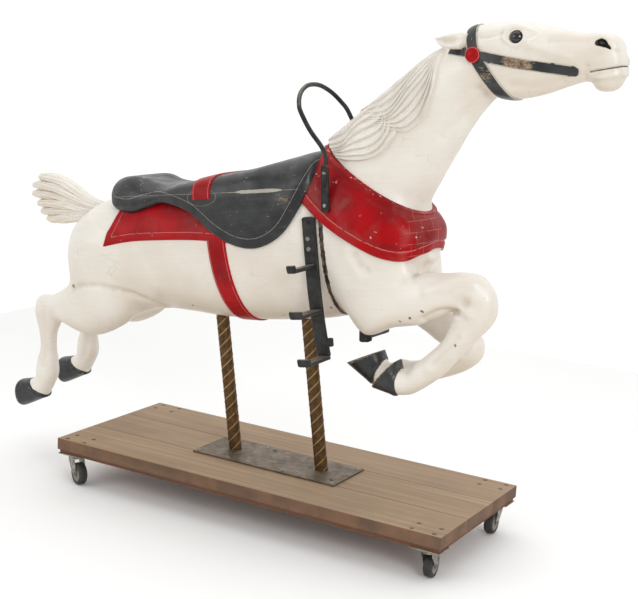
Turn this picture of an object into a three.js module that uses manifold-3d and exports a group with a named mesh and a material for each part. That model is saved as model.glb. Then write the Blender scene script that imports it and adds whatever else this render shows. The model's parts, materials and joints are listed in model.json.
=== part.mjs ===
// A wooden carousel horse in a flying leap, carried on two twisted brass poles by a
// rolling plank stand. Millimetres, +Z up, +X towards the head, the rider's right at -Y.
// The origin is on the floor, under the middle of the whole piece.
//
// The horse, its irons and the poles are drawn in the horse's own level frame: u runs
// forward along the back, w runs up the poles. One turned group rakes that frame back.

import * as THREE from 'three';
import { mergeVertices } from 'three/addons/utils/BufferGeometryUtils.js';
import Module from 'manifold-3d';

const wasm = await Module();
wasm.setup();

// ---------------------------------------------------------------- driving dimensions

const FIT = 0.3;                    // gap left between pieces that touch
const RAKE = THREE.MathUtils.degToRad(9.4);   // the leap's nose-up pitch
const LEAP_X = -14.5;               // where the horse's upright line meets the foot plate

const DECK = { length: 1410, board: 184, gap: 2, thick: 38, boards: 3 };
const PLY = { thick: 12, inset: 6 };
const PLATE = { xFrom: -275, xTo: 257, yFrom: -107, yTo: 90, thick: 6,
  hole: 6, emptyHoles: [[-64, 60], [228, -70]] };
const POLE = { radius: 22, rear: -163, front: 163, top: 545, sides: 20 };
const CASTOR = {
  height: 100, plateLong: 95, plateWide: 67, plateThick: 3, atX: 655, atY: 242,
  wheelRadius: 37.5, wheelWide: 28, axle: 4, trail: 27, cheek: 3, side: 2, race: 22,
  sides: 16,
};
const CASTOR_TURN = [336, 96, 272, 200];   // which way each wheel trails, degrees from +X

const ZINC = 0x8d8b84;
const PLY_TOP = CASTOR.height + PLY.thick;
const DECK_TOP = PLY_TOP + DECK.thick;
const DECK_WIDE = DECK.boards * DECK.board + (DECK.boards - 1) * DECK.gap;
const PLATE_TOP = DECK_TOP + PLATE.thick;

// Sections of the carving. Each row is a slice across a limb:
// [upper edge u, w, lower edge u, w, half width, middle y]. The two edges lie on the
// limb's outline seen from the side; the half width is the limb's reach to either side.

const TRUNK = [
  [-704, 700, -706, 650, 24, 0],
  [-694, 766, -698, 574, 88, 0],
  [-664, 824, -666, 520, 128, 0],
  [-604, 864, -600, 486, 154, 0],
  [-520, 884, -510, 480, 162, 0],
  [-400, 896, -400, 500, 158, 0],
  [-260, 902, -270, 492, 154, 0],
  [-120, 908, -130, 472, 158, 0],
  [30, 914, 20, 460, 160, 0],
  [180, 934, 170, 460, 154, 0],
  [300, 960, 290, 466, 146, 0],
  [400, 940, 390, 490, 144, 0],
  [500, 880, 490, 530, 138, 0],
  [580, 800, 575, 580, 104, 0],
  [618, 740, 618, 630, 50, 0],
];

const NECK = [
  [230, 930, 560, 640, 120, 0],
  [318, 1015, 606, 785, 112, 0],
  [378, 1056, 652, 855, 98, 0],
  [448, 1098, 704, 924, 84, 0],
  [536, 1152, 772, 1010, 74, 0],
  [622, 1198, 830, 1066, 68, 0],
  [704, 1236, 866, 1092, 66, 0],
  [772, 1262, 900, 1110, 62, 0],
];

const HEAD = [
  [776, 1272, 842, 1120, 50, 0],
  [806, 1288, 866, 1088, 66, 0],
  [862, 1293, 898, 1076, 74, 0],
  [910, 1292, 935, 1074, 76, 0],
  [958, 1284, 972, 1076, 72, 0],
  [1012, 1266, 1018, 1083, 61, 0],
  [1072, 1246, 1070, 1095, 52, 0],
  [1124, 1233, 1118, 1102, 47, 0],
  [1168, 1228, 1158, 1090, 50, 0],
  [1202, 1212, 1192, 1077, 50, 0],
  [1228, 1186, 1220, 1084, 42, 0],
  [1241, 1154, 1238, 1106, 26, 0],
];

const FORE_RIGHT = [
  [450, 780, 356, 730, 30, -92],
  [550, 690, 344, 600, 46, -93],
  [584, 628, 366, 494, 52, -94],
  [606, 606, 424, 424, 52, -97],
  [646, 604, 520, 446, 52, -102],
  [704, 603, 604, 454, 49, -106],
  [764, 602, 664, 474, 47, -106],
  [822, 584, 706, 488, 46, -106],
  [854, 530, 722, 488, 44, -106],
  [842, 462, 718, 474, 40, -106],
  [772, 398, 682, 414, 34, -106],
  [676, 312, 632, 372, 33, -106],
  [618, 274, 590, 344, 38, -106],
  [562, 248, 560, 322, 34, -106],
  [516, 246, 528, 326, 40, -106],
];

const FORE_LEFT = [
  [450, 760, 356, 710, 30, 92],
  [540, 660, 350, 590, 46, 93],
  [584, 580, 396, 474, 52, 95],
  [622, 512, 500, 418, 52, 100],
  [676, 446, 564, 368, 48, 104],
  [706, 390, 602, 344, 46, 104],
  [704, 326, 606, 338, 44, 104],
  [660, 286, 594, 334, 38, 104],
  [580, 258, 566, 322, 33, 104],
  [470, 236, 468, 308, 35, 104],
  [424, 228, 428, 312, 38, 104],
  [366, 226, 386, 300, 34, 104],
  [322, 236, 368, 316, 40, 104],
];

const HIND_RIGHT = [
  [-580, 800, -440, 720, 46, -92],
  [-640, 710, -452, 560, 64, -98],
  [-662, 650, -484, 476, 66, -100],
  [-690, 612, -590, 437, 61, -106],
  [-740, 582, -664, 444, 53, -110],
  [-792, 566, -716, 462, 45, -110],
  [-824, 570, -744, 470, 40, -110],
  [-856, 554, -766, 470, 37, -110],
  [-866, 506, -782, 452, 34, -110],
  [-858, 440, -796, 430, 30, -110],
  [-862, 384, -806, 380, 29, -110],
  [-882, 344, -806, 336, 34, -110],
  [-892, 306, -812, 288, 38, -110],
  [-900, 282, -838, 246, 35, -110],
  [-930, 270, -868, 210, 40, -110],
];

const EAR = [
  [818, 1268, 806, 1226, 20, -56],
  [790, 1272, 780, 1232, 21, -60],
  [757, 1270, 752, 1240, 15, -64],
  [724, 1267, 722, 1258, 6, -66],
];

// The tail's flowing hair: each lock runs from the dock to its own tip [u, w].
const TAIL = {
  root: [-600, 836], dock: [-672, 850], thick: 27,
  tips: [[-888, 968], [-918, 944], [-928, 914], [-906, 880], [-896, 852], [-868, 826]],
};

// The mane lies on the neck. Its locks fill the space between two lines, each a list of
// [along, across]: along counts the neck's sections from the withers, across runs from
// the throat (-1) over the middle (0) to the crest (1).
const MANE = {
  ridge: 15, valley: 4, sunk: 9, leftShort: 0.985,
  upper: {
    locks: 6,
    low: [[6.1, 0.9], [5.5, 0.86], [5, 0.66], [4.4, 0.32], [3.9, 0.06], [3.4, -0.05], [3, 0.08],
      [2.8, 0.34], [2.5, 0.66]],
    high: [[6.2, 1], [5.7, 1], [5.2, 0.98], [4.7, 0.95], [4.2, 0.93], [3.7, 0.93], [3.3, 0.95],
      [3, 0.98], [2.8, 1]],
  },
  lower: {
    locks: 5,
    low: [[3.3, 0.25], [3, 0.02], [2.6, -0.03], [2.1, -0.03], [1.6, 0.06], [1.15, 0.26], [0.85, 0.56]],
    high: [[3.4, 0.95], [3, 0.94], [2.5, 0.93], [2, 0.93], [1.6, 0.94], [1.2, 0.96], [0.9, 1]],
  },
};

const SIDES = { trunk: 18, neck: 14, head: 12, leg: 10, ear: 6, eye: 10, ball: 8, saddle: 6,
  collar: 20, rosette: 16, lock: 6, race: 10, axle: 8 };

// Hooves: the two ends of each sole, in the order of the leg's last section.
const SOLES = {
  foreRight: { toe: [441, 268], heel: [531, 352], wide: 52 },
  foreLeft: { toe: [238, 302], heel: [364, 340], wide: 52 },
  hindRight: { toe: [-972, 270], heel: [-968, 176], wide: 50 },
};
const LEFT_HIND_RAISED = 38;        // the left hind foot is thrown a little higher

// Outlines of the carved trappings, seen from the side.
const BLANKET = { raise: 7, rear: [[-413, 900], [-493, 726]], foot: [[-380, 738], [-186, 735], [20, 716]] };
const GIRTH = { raise: 6, wide: 68, top: [-84, 820], foot: [67, 400] };
const COLLAR = [
  [584, 640, 230, 830, 128, 0],
  [622, 660, 262, 872, 151, 0],
  [640, 690, 290, 906, 155, 0],
  [636, 726, 310, 946, 146, 0],
  [618, 756, 326, 978, 128, 0],
  [596, 776, 338, 1000, 108, 0],
];
const SADDLE = [
  [-484, 912, 104, 886],
  [-472, 946, 124, 864],
  [-430, 956, 138, 846],
  [-380, 950, 144, 846],
  [-330, 926, 140, 864],
  [-270, 914, 140, 868],
  [-200, 920, 150, 850],
  [-134, 928, 160, 822],
  [-60, 938, 166, 762],
  [10, 943, 168, 722],
  [78, 950, 168, 706],
  [140, 960, 166, 716],
  [200, 968, 162, 752],
  [250, 976, 152, 816],
  [290, 980, 130, 880],
  [318, 984, 80, 930],
];

const EYE = { u: 949, w: 1240, y: 54, radius: 19 };
const BROW = [34, 22, 26];
const JOWL = { u: 908, w: 1150, y: 40, size: [74, 38, 70] };
const NOSTRIL = { u: 1192, w: 1196, y: 46, size: [15, 10, 9] };
const MOUTH = { corner: [1150, 1124], front: [1262, 1138], high: 4, deep: 6 };
const CHIN = { at: [1180, 0, 1092], size: [34, 32, 20] };
const ROSETTE = { u: 812, w: 1206, y: 78, radius: 21 };
const STRAP = { raise: 4 };
const BRIDLE = { wide: 24, crown: [806, 1310], throat: [900, 1060], cheek: [1118, 1130] };

const HOOP = {
  rod: 7, footWide: 26, footThick: 7, sides: 8, steps: 22,
  footY: 164, foot: [[354, 798], [366, 936]],
  rise: [[366, 925, 158], [362, 960, 146], [349, 990, 140], [314, 1042, 140], [288, 1098, 140],
    [277, 1122, 127], [268, 1145, 105], [262, 1162, 78], [258, 1176, 40]],
  apex: [257, 1180],
};
const STIRRUP = {
  wide: 44, thick: 11, u: 290,
  bend: [[788, 158], [600, 161], [500, 156], [420, 146], [362, 135]],
  pegs: { right: [[647, 28], [511, 42], [366, 42]], left: [[647, 28], [511, 42], [386, 42]] },
  pegLong: 122, pegThick: 13, lip: 9, lipLong: 10,
  lug: { y: 144, from: 396, to: 420, out: 12 },
};

// ---------------------------------------------------------------- helpers

const finish = (colour, roughness, metalness = 0) =>
  new THREE.MeshStandardMaterial({ color: colour, roughness, metalness });

// Turns a closed geometry's faces outwards by the sign of its volume.
function outward(geometry) {
  const p = geometry.attributes.position;
  const index = geometry.index.array;
  const [a, b, c] = [new THREE.Vector3(), new THREE.Vector3(), new THREE.Vector3()];
  let volume = 0;
  for (let i = 0; i < index.length; i += 3) {
    a.fromBufferAttribute(p, index[i]);
    b.fromBufferAttribute(p, index[i + 1]);
    c.fromBufferAttribute(p, index[i + 2]);
    volume += a.dot(b.cross(c));
  }
  if (volume < 0) {
    for (let i = 0; i < index.length; i += 3) {
      [index[i], index[i + 1]] = [index[i + 1], index[i]];
    }
  }
  return geometry;
}

// A geometry with only merged positions, as the boolean library wants it.
function bare(geometry) {
  const g = geometry.clone();
  for (const name of Object.keys(g.attributes)) {
    if (name !== 'position') g.deleteAttribute(name);
  }
  return outward(mergeVertices(g, 1e-4));
}

function solid(geometry) {
  const g = bare(geometry);
  return new wasm.Manifold(new wasm.Mesh({
    numProp: 3,
    vertProperties: new Float32Array(g.attributes.position.array),
    triVerts: new Uint32Array(g.index.array),
  }));
}

function geometryOf(manifold) {
  const mesh = manifold.getMesh();
  const g = new THREE.BufferGeometry();
  g.setAttribute('position', new THREE.BufferAttribute(new Float32Array(mesh.vertProperties), 3));
  g.setIndex(new THREE.BufferAttribute(new Uint32Array(mesh.triVerts), 1));
  g.computeVertexNormals();
  return g;
}

const join = (parts) => parts.reduce((whole, part) => whole.add(part));

// One value of the smooth curve through four numbers, t from the second to the third.
function smooth(p0, p1, p2, p3, t) {
  const a = 2 * p1;
  const b = p2 - p0;
  const c = 2 * p0 - 5 * p1 + 4 * p2 - p3;
  const d = 3 * p1 - p0 - 3 * p2 + p3;
  return (a + b * t + c * t * t + d * t * t * t) / 2;
}

// A closed skin over rings of points, each ring the same number of points long.
function skin(rings) {
  const sides = rings[0].length;
  const positions = rings.flat().flatMap((p) => [p.x, p.y, p.z]);
  const index = [];
  for (let i = 0; i < rings.length - 1; i++) {
    for (let j = 0; j < sides; j++) {
      const a = i * sides + j;
      const b = i * sides + (j + 1) % sides;
      index.push(a, b, b + sides, a, b + sides, a + sides);
    }
  }
  for (const [ring, first] of [[rings[0], 0], [rings[rings.length - 1], (rings.length - 1) * sides]]) {
    const middle = ring.reduce((s, p) => s.add(p), new THREE.Vector3()).divideScalar(sides);
    positions.push(middle.x, middle.y, middle.z);
    const centre = positions.length / 3 - 1;
    for (let j = 0; j < sides; j++) {
      const pair = [first + j, first + (j + 1) % sides];
      index.push(...(first ? [pair[0], pair[1], centre] : [pair[1], pair[0], centre]));
    }
  }
  const g = new THREE.BufferGeometry();
  g.setAttribute('position', new THREE.Float32BufferAttribute(positions, 3));
  g.setIndex(index);
  return outward(g);
}

// One oval ring from a section row; square above 1 fills the corners out.
function ring([u1, w1, u2, w2, wide, y], sides, square = 1) {
  const middle = new THREE.Vector3((u1 + u2) / 2, y, (w1 + w2) / 2);
  const half = new THREE.Vector3((u1 - u2) / 2, 0, (w1 - w2) / 2);
  return Array.from({ length: sides }, (_, k) => {
    const t = (k / sides) * 2 * Math.PI;
    const c = Math.sign(Math.cos(t)) * Math.abs(Math.cos(t)) ** (1 / square);
    const s = Math.sign(Math.sin(t)) * Math.abs(Math.sin(t)) ** (1 / square);
    return middle.clone().addScaledVector(half, c).add(new THREE.Vector3(0, wide * s, 0));
  });
}

const limb = (rows, sides, square = 1) => skin(rows.map((row) => ring(row, sides, square)));

// Rows swollen by a thickness on every side.
function swollen(rows, by) {
  return rows.map(([u1, w1, u2, w2, wide, y]) => {
    const long = Math.hypot(u1 - u2, w1 - w2);
    const [du, dw] = [(u1 - u2) * by / long, (w1 - w2) * by / long];
    return [u1 + du, w1 + dw, u2 - du, w2 - dw, wide + by, y];
  });
}

const otherSide = (rows) => rows.map(([u1, w1, u2, w2, wide, y]) => [u1, w1, u2, w2, wide, -y]);

// A flat outline in u and w, carried across the horse from one y to the other.
function across(outline, yFrom, yTo) {
  const shape = new THREE.Shape(outline.map(([u, w]) => new THREE.Vector2(u, w)));
  const g = new THREE.ExtrudeGeometry(shape, { depth: yTo - yFrom, bevelEnabled: false });
  g.rotateX(Math.PI / 2);
  g.translate(0, yTo, 0);
  return g;
}

// A bar of constant section along a smooth path.
function alongPath(points, section, steps) {
  const path = new THREE.CatmullRomCurve3(points.map((p) => new THREE.Vector3(...p)));
  return new THREE.ExtrudeGeometry(section, { steps, bevelEnabled: false, extrudePath: path });
}

const roundSection = (radius, sides) => new THREE.Shape(
  Array.from({ length: sides }, (_, k) => {
    const t = (k / sides) * 2 * Math.PI;
    return new THREE.Vector2(radius * Math.cos(t), radius * Math.sin(t));
  }),
);

// A round bar from one point to another.
function rod(from, to, radius, sides) {
  const [a, b] = [new THREE.Vector3(...from), new THREE.Vector3(...to)];
  const g = new THREE.CylinderGeometry(radius, radius, a.distanceTo(b), sides);
  const turn = new THREE.Quaternion().setFromUnitVectors(
    new THREE.Vector3(0, 1, 0), b.clone().sub(a).normalize());
  g.applyQuaternion(turn);
  return g.translate((a.x + b.x) / 2, (a.y + b.y) / 2, (a.z + b.z) / 2);
}

function box(xFrom, xTo, yFrom, yTo, zFrom, zTo) {
  const g = new THREE.BoxGeometry(xTo - xFrom, yTo - yFrom, zTo - zFrom);
  return g.translate((xFrom + xTo) / 2, (yFrom + yTo) / 2, (zFrom + zTo) / 2);
}

function named(name, geometry, material) {
  const mesh = new THREE.Mesh(geometry, material);
  mesh.name = name;
  return mesh;
}

// ---------------------------------------------------------------- the carving

// A leg with its hoof: the leg's last section grows into the flat sole.
function leg(rows, sole) {
  const coronet = rows[rows.length - 1];
  const foot = [...sole.toe, ...sole.heel, sole.wide, coronet[5]];
  const blend = (a, b, share) => a.map((value, k) => value + (b[k] - value) * share);
  const [root] = swollen([blend(coronet, rows[rows.length - 2], 0.5)], -10);
  const [band] = swollen([blend(coronet, foot, 0.04)], 3);
  const hoof = skin([root, band, foot].map((row) => ring(row, SIDES.leg, 1.15)));
  return solid(limb(rows, SIDES.leg)).add(solid(hoof));
}

// The left hind leg is the right one mirrored, with its lower part thrown higher.
function leftHind() {
  const lift = (w, share) => w + LEFT_HIND_RAISED * share;
  const rows = otherSide(HIND_RIGHT).map(([u1, w1, u2, w2, wide, y], i) => {
    const share = Math.min(1, i / 5);
    return [u1, lift(w1, share), u2, lift(w2, share), wide, y];
  });
  const { toe, heel, wide } = SOLES.hindRight;
  return leg(rows, { toe: [toe[0], lift(toe[1], 1)], heel: [heel[0], lift(heel[1], 1)], wide });
}

// A ball squashed to three half sizes, at [u, y, w].
function ball([u, y, w], [a, b, c], sides = SIDES.ball) {
  const g = new THREE.SphereGeometry(1, sides, Math.round(sides / 2));
  return solid(g.scale(a, b, c).translate(u, y, w));
}

// The point and the outward normal on the neck at [along, across], on one side.
function onNeck([along, across], side) {
  const i = Math.min(Math.floor(along), NECK.length - 2);
  const at = (k) => NECK[Math.min(Math.max(k, 0), NECK.length - 1)];
  const [u1, w1, u2, w2, wide] = at(i).map((_, j) =>
    smooth(at(i - 1)[j], at(i)[j], at(i + 1)[j], at(i + 2)[j], along - i));
  const reach = Math.sqrt(Math.max(0, 1 - across * across));
  const half = new THREE.Vector3((u1 - u2) / 2, 0, (w1 - w2) / 2);
  const point = new THREE.Vector3((u1 + u2) / 2, side * wide * reach, (w1 + w2) / 2);
  point.addScaledVector(half, across);
  const normal = half.clone().multiplyScalar(across / half.lengthSq());
  normal.y = side * reach / wide;
  return { point, normal: normal.normalize() };
}

// A lock of hair: flat six-sided rings along a path, tapering to both ends.
function lock(points, normals, wide, thick) {
  const last = points.length - 1;
  return solid(skin(points.map((p, i) => {
    const ahead = points[Math.min(i + 1, last)].clone().sub(points[Math.max(i - 1, 0)]).normalize();
    const aside = ahead.clone().cross(normals[i]).normalize();
    const taper = 0.35 + 0.65 * Math.sin(Math.PI * (i + 0.5) / (last + 1));
    return Array.from({ length: SIDES.lock }, (_, k) => {
      const t = (k / SIDES.lock) * 2 * Math.PI;
      return p.clone().addScaledVector(aside, wide * taper * Math.cos(t))
        .addScaledVector(normals[i], thick * taper * Math.sin(t));
    });
  })));
}

// A lobe of the mane: ridges and valleys between its two lines, its rims sunk in the neck.
// The left side shows only the few topmost locks.
function lobe({ locks, low, high }, side, few = locks) {
  return solid(skin(low.map((start, i) => {
    const taper = 0.35 + 0.65 * Math.sin(Math.PI * (i + 0.5) / low.length);
    const on = Array.from({ length: 2 * few + 1 }, (_, k) => {
      const share = 1 - (few - k / 2) / locks;
      const [place, height] = start.map((v, j) => v + (high[i][j] - v) * share);
      return onNeck([place, height * (side < 0 ? 1 : MANE.leftShort)], side);
    });
    const outer = on.map(({ point, normal }, k) =>
      point.clone().addScaledVector(normal, (k % 2 ? MANE.ridge : MANE.valley) * taper));
    const sunk = [on[on.length - 1], on[0]].map(({ point, normal }) =>
      point.clone().addScaledVector(normal, -MANE.sunk));
    return [...outer, ...sunk];
  })));
}

// The right side, the one meant to be seen, has the full mane. The left has its top rows.
const mane = () => join([
  lobe(MANE.upper, -1), lobe(MANE.lower, -1), lobe(MANE.upper, 1, 3), lobe(MANE.lower, 1, 2),
]);

function tail() {
  const { root, dock, thick, tips } = TAIL;
  const up = new THREE.Vector3(0, 1, 0);
  return join(tips.map(([u, w], k) => {
    const spread = (k - (tips.length - 1) / 2) * -11;
    const start = new THREE.Vector3(root[0], 0, root[1] + spread * 0.6);
    const hip = new THREE.Vector3(dock[0], 0, dock[1] + spread * 0.9);
    const tip = new THREE.Vector3(u, 0, w);
    const swell = hip.clone().lerp(tip, 0.5).add(new THREE.Vector3(0, 0, 10 + spread * 0.5));
    const near = hip.clone().lerp(tip, 0.86).add(new THREE.Vector3(0, 0, 4 + spread * 0.3));
    const points = [start, hip, swell, near, tip];
    return lock(points, points.map(() => up), 19, thick + 6 * (k % 2));
  }));
}

// A narrow slab of the swollen head or neck, which stands for a painted leather strap.
const strapOf = (rows, outline) =>
  solid(limb(swollen(rows, STRAP.raise), SIDES.head)).intersect(solid(across(outline, -120, 120)));

function band(from, to, wide) {
  const [du, dw] = [to[0] - from[0], to[1] - from[1]];
  const long = Math.hypot(du, dw);
  const [nu, nw] = [-dw / long * wide / 2, du / long * wide / 2];
  return [[from[0] + nu, from[1] + nw], [to[0] + nu, to[1] + nw],
    [to[0] - nu, to[1] - nw], [from[0] - nu, from[1] - nw]];
}

function bridle() {
  const ring = [ROSETTE.u, ROSETTE.w];
  const disc = new THREE.CylinderGeometry(ROSETTE.radius, ROSETTE.radius, 2 * ROSETTE.y, SIDES.rosette);
  return join([
    strapOf(HEAD, band(ring, BRIDLE.crown, BRIDLE.wide)),
    strapOf(HEAD, band(ring, BRIDLE.throat, BRIDLE.wide)),
    strapOf(HEAD, band(ring, BRIDLE.cheek, BRIDLE.wide)),
    solid(disc.translate(ROSETTE.u, 0, ROSETTE.w)),
  ]);
}

// The mouth is a shallow slot round the muzzle; the nostrils are shallow hollows.
function face() {
  const muzzle = solid(limb(HEAD, SIDES.head));
  const core = solid(limb(swollen(HEAD, -MOUTH.deep), SIDES.head));
  const slot = solid(across(band(MOUTH.corner, MOUTH.front, MOUTH.high), -80, 80)).subtract(core);
  const nostrils = [-1, 1].map((side) => ball([NOSTRIL.u, side * NOSTRIL.y, NOSTRIL.w], NOSTRIL.size));
  const brows = [-1, 1].map((side) => ball([EYE.u, side * (EYE.y - 8), EYE.w], BROW));
  const jowls = [-1, 1].map((side) => ball([JOWL.u, side * JOWL.y, JOWL.w], JOWL.size));
  const lips = ball(CHIN.at, CHIN.size);
  return join([muzzle, ...brows, ...jowls, lips]).subtract(slot).subtract(join(nostrils));
}

function body() {
  return join([
    solid(limb(TRUNK, SIDES.trunk)),
    solid(limb(NECK, SIDES.neck)),
    face(),
    solid(limb(EAR, SIDES.ear)),
    solid(limb(otherSide(EAR), SIDES.ear)),
    mane(),
    tail(),
    leg(FORE_RIGHT, SOLES.foreRight),
    leg(FORE_LEFT, SOLES.foreLeft),
    leg(HIND_RIGHT, SOLES.hindRight),
    leftHind(),
  ]);
}

// The saddle: arched slices from the cantle to the pommel. Each row is
// [u, crown w, half width, lower edge w].
function saddle() {
  const slices = SADDLE.map(([u, crown, wide, low]) => {
    const half = Array.from({ length: SIDES.saddle + 1 }, (_, k) => {
      const t = (k / SIDES.saddle) * Math.PI / 2;
      return [wide * Math.sin(t) ** 0.85, low + (crown - low) * Math.cos(t) ** 0.7];
    });
    const right = half.map(([y, w]) => new THREE.Vector3(u, -y, w));
    const left = half.slice(1).reverse().map(([y, w]) => new THREE.Vector3(u, y, w));
    return [...right, ...left];
  });
  return solid(skin(slices));
}

function blanket() {
  const cloth = solid(limb(swollen(TRUNK, BLANKET.raise), SIDES.trunk));
  const outline = [...BLANKET.rear, ...BLANKET.foot, [20, 960], [-413, 960]];
  return cloth.intersect(solid(across(outline, -200, 200)));
}

function girth() {
  const cloth = solid(limb(swollen(TRUNK, GIRTH.raise), SIDES.trunk));
  const outline = band(GIRTH.top, GIRTH.foot, GIRTH.wide);
  return cloth.intersect(solid(across(outline, -200, 200)));
}

// ---------------------------------------------------------------- poles and irons

// The horse's frame in the deck's: raked back about the foot plate.
const LEAP = new THREE.Matrix4().makeRotationY(-RAKE).setPosition(LEAP_X, 0, PLATE_TOP);

const poleAt = (u, radius) => rod([u, 0, -30], [u, 0, POLE.top], radius, POLE.sides);

// The pole's foot is sawn level where it stands on the steel plate.
function pole(u) {
  const ground = box(-400, 400, -60, 60, 0, PLATE_TOP + FIT);
  return solid(poleAt(u, POLE.radius).applyMatrix4(LEAP)).subtract(solid(ground));
}

const poleSockets = () => join([POLE.rear, POLE.front].map((u) =>
  solid(rod([u, 0, 0], [u, 0, POLE.top + FIT], POLE.radius + 2 * FIT, POLE.sides))));

// The hand hoop: a round bar over the withers that ends in two flattened feet.
function hoop(grow = 0) {
  const half = HOOP.rise.map(([u, w, y]) => [u, y, w]);
  const arch = [...half.map(([u, y, w]) => [u, -y, w]), [HOOP.apex[0], 0, HOOP.apex[1]],
    ...[...half].reverse()];
  const bar = solid(alongPath(arch, roundSection(HOOP.rod + grow, HOOP.sides), HOOP.steps));
  const feet = [-1, 1].map((side) => {
    const outline = band(HOOP.foot[0], HOOP.foot[1], HOOP.footWide + 2 * grow);
    const ys = [side * (HOOP.footY - HOOP.footThick - grow), side * (HOOP.footY + grow)];
    return solid(across(outline, Math.min(...ys), Math.max(...ys)));
  });
  return join([bar, ...feet]);
}

// A slab with its outline in y and w, carried along u.
function along(outline, u, wide, side) {
  const shape = new THREE.Shape(outline.map(([y, w]) => new THREE.Vector2(side * y, w)));
  const g = new THREE.ExtrudeGeometry(shape, { depth: wide, bevelEnabled: false });
  return solid(g.rotateX(Math.PI / 2).rotateZ(Math.PI / 2).translate(u - wide / 2, 0, 0));
}

// The foot iron: a flat bar down the flank with three pegs whose tips turn up.
function stirrup(side, grow = 0) {
  const { bend, thick, wide, u, pegLong, pegThick, lip, lipLong, lug } = STIRRUP;
  const outer = bend.map(([w, y]) => [y + grow, w]);
  const inner = [...bend].reverse().map(([w, y]) => [y - thick - grow, w]);
  const bar = along([...outer, ...inner], u, wide + 2 * grow, side);
  const yAt = (w) => {
    const k = bend.findIndex(([low]) => low <= w);
    const [[w1, y1], [w2, y2]] = [bend[k - 1], bend[k]];
    return y1 + (y2 - y1) * (w1 - w) / (w1 - w2);
  };
  const tongues = STIRRUP.pegs[side < 0 ? 'right' : 'left'].map(([w, pegWide]) => {
    const [root, tip] = [yAt(w) - thick / 2, yAt(w) + pegLong];
    const outline = [[root, w - pegThick], [tip, w - pegThick - 2], [tip + 2, w + lip],
      [tip - lipLong, w + lip], [tip - lipLong, w], [root, w]];
    return along(outline, u, pegWide, side);
  });
  const ear = along([[lug.y, lug.from], [lug.y, lug.to], [lug.y - thick, lug.to],
    [lug.y - thick, lug.from]], u + (wide + lug.out) / 2 - 1, lug.out, side);
  return join([bar, ...tongues, ear]);
}

// ---------------------------------------------------------------- the rolling stand

function plate() {
  const shape = new THREE.Shape([[PLATE.xFrom, PLATE.yFrom], [PLATE.xTo, PLATE.yFrom],
    [PLATE.xTo, PLATE.yTo], [PLATE.xFrom, PLATE.yTo]].map(([x, y]) => new THREE.Vector2(x, y)));
  for (const [x, y] of PLATE.emptyHoles) {
    shape.holes.push(new THREE.Path().absarc(x, y, PLATE.hole, 0, 2 * Math.PI));
  }
  const g = new THREE.ExtrudeGeometry(shape, { depth: PLATE.thick - FIT, bevelEnabled: false, curveSegments: 10 });
  return g.translate(0, 0, DECK_TOP + FIT);
}

function board(k) {
  const yFrom = -DECK_WIDE / 2 + k * (DECK.board + DECK.gap);
  return box(-DECK.length / 2, DECK.length / 2, yFrom, yFrom + DECK.board, PLY_TOP + FIT, DECK_TOP);
}

function ply() {
  const [x, y] = [DECK.length / 2 - PLY.inset, DECK_WIDE / 2 - PLY.inset];
  return box(-x, x, -y, y, CASTOR.height, PLY_TOP);
}

// The faceted wheel rests on one of its flats.
const AXLE_Z = CASTOR.wheelRadius * Math.cos(Math.PI / CASTOR.sides);
const PLATE_Z = CASTOR.height - FIT - CASTOR.plateThick;

const disc = (radius, low, high, sides) => rod([0, 0, low], [0, 0, high], radius, sides);

// The castor's bolted plate and the ball race under it.
function castorPlate() {
  const [x, y] = [CASTOR.plateLong / 2, CASTOR.plateWide / 2];
  const top = solid(box(-x, x, -y, y, PLATE_Z, CASTOR.height - FIT));
  return geometryOf(top.add(solid(disc(CASTOR.race, PLATE_Z - 5, PLATE_Z + 1, SIDES.race))));
}

// The fork: a round crown under the race and two cheeks down to the axle.
function castorFork() {
  const top = PLATE_Z - 6;
  const crown = solid(disc(CASTOR.race, top - 7, top, SIDES.race));
  const inside = CASTOR.wheelWide / 2 + CASTOR.side;
  const cheeks = [-1, 1].map((side) => {
    const shape = new THREE.Shape([[-CASTOR.race * 0.8, top - 1], [CASTOR.race, top - 1],
      [CASTOR.trail + 10, AXLE_Z + 4], [CASTOR.trail + 5, AXLE_Z - 9], [CASTOR.trail - 6, AXLE_Z - 9],
      [-CASTOR.race * 0.8, top - 16]].map(([x, z]) => new THREE.Vector2(x, z)));
    shape.holes.push(new THREE.Path().absarc(CASTOR.trail, AXLE_Z, CASTOR.axle + 2 * FIT, 0, 2 * Math.PI));
    const g = new THREE.ExtrudeGeometry(shape, { depth: CASTOR.cheek, bevelEnabled: false, curveSegments: 4 });
    return solid(g.rotateX(Math.PI / 2).translate(0, side > 0 ? inside + CASTOR.cheek : -inside, 0));
  });
  const bridge = box(-CASTOR.race * 0.8, CASTOR.race * 0.8, -inside - 1, inside + 1, top - 4, top - 1);
  return geometryOf(join([crown, solid(bridge), ...cheeks]));
}

function castorAxle() {
  const reach = CASTOR.wheelWide / 2 + CASTOR.side + CASTOR.cheek + 4;
  return rod([CASTOR.trail, -reach, AXLE_Z], [CASTOR.trail, reach, AXLE_Z], CASTOR.axle, SIDES.axle);
}

function castorWheel() {
  const { wheelRadius: r, wheelWide: wide, axle, sides } = CASTOR;
  const bore = axle + 1;
  const profile = [[bore, -wide / 2], [r - 3, -wide / 2], [r, -wide / 2 + 4], [r, wide / 2 - 4],
    [r - 3, wide / 2], [bore, wide / 2], [bore, -wide / 2]].map(([x, y]) => new THREE.Vector2(x, y));
  const g = new THREE.LatheGeometry(profile, sides);
  return g.rotateY(Math.PI / sides + Math.PI / 2).translate(CASTOR.trail, 0, AXLE_Z);
}

// ---------------------------------------------------------------- assembly

const carving = join([body(), bridle(), saddle(), blanket(), girth(),
  solid(limb(COLLAR, SIDES.collar, 1.2))]);

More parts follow.
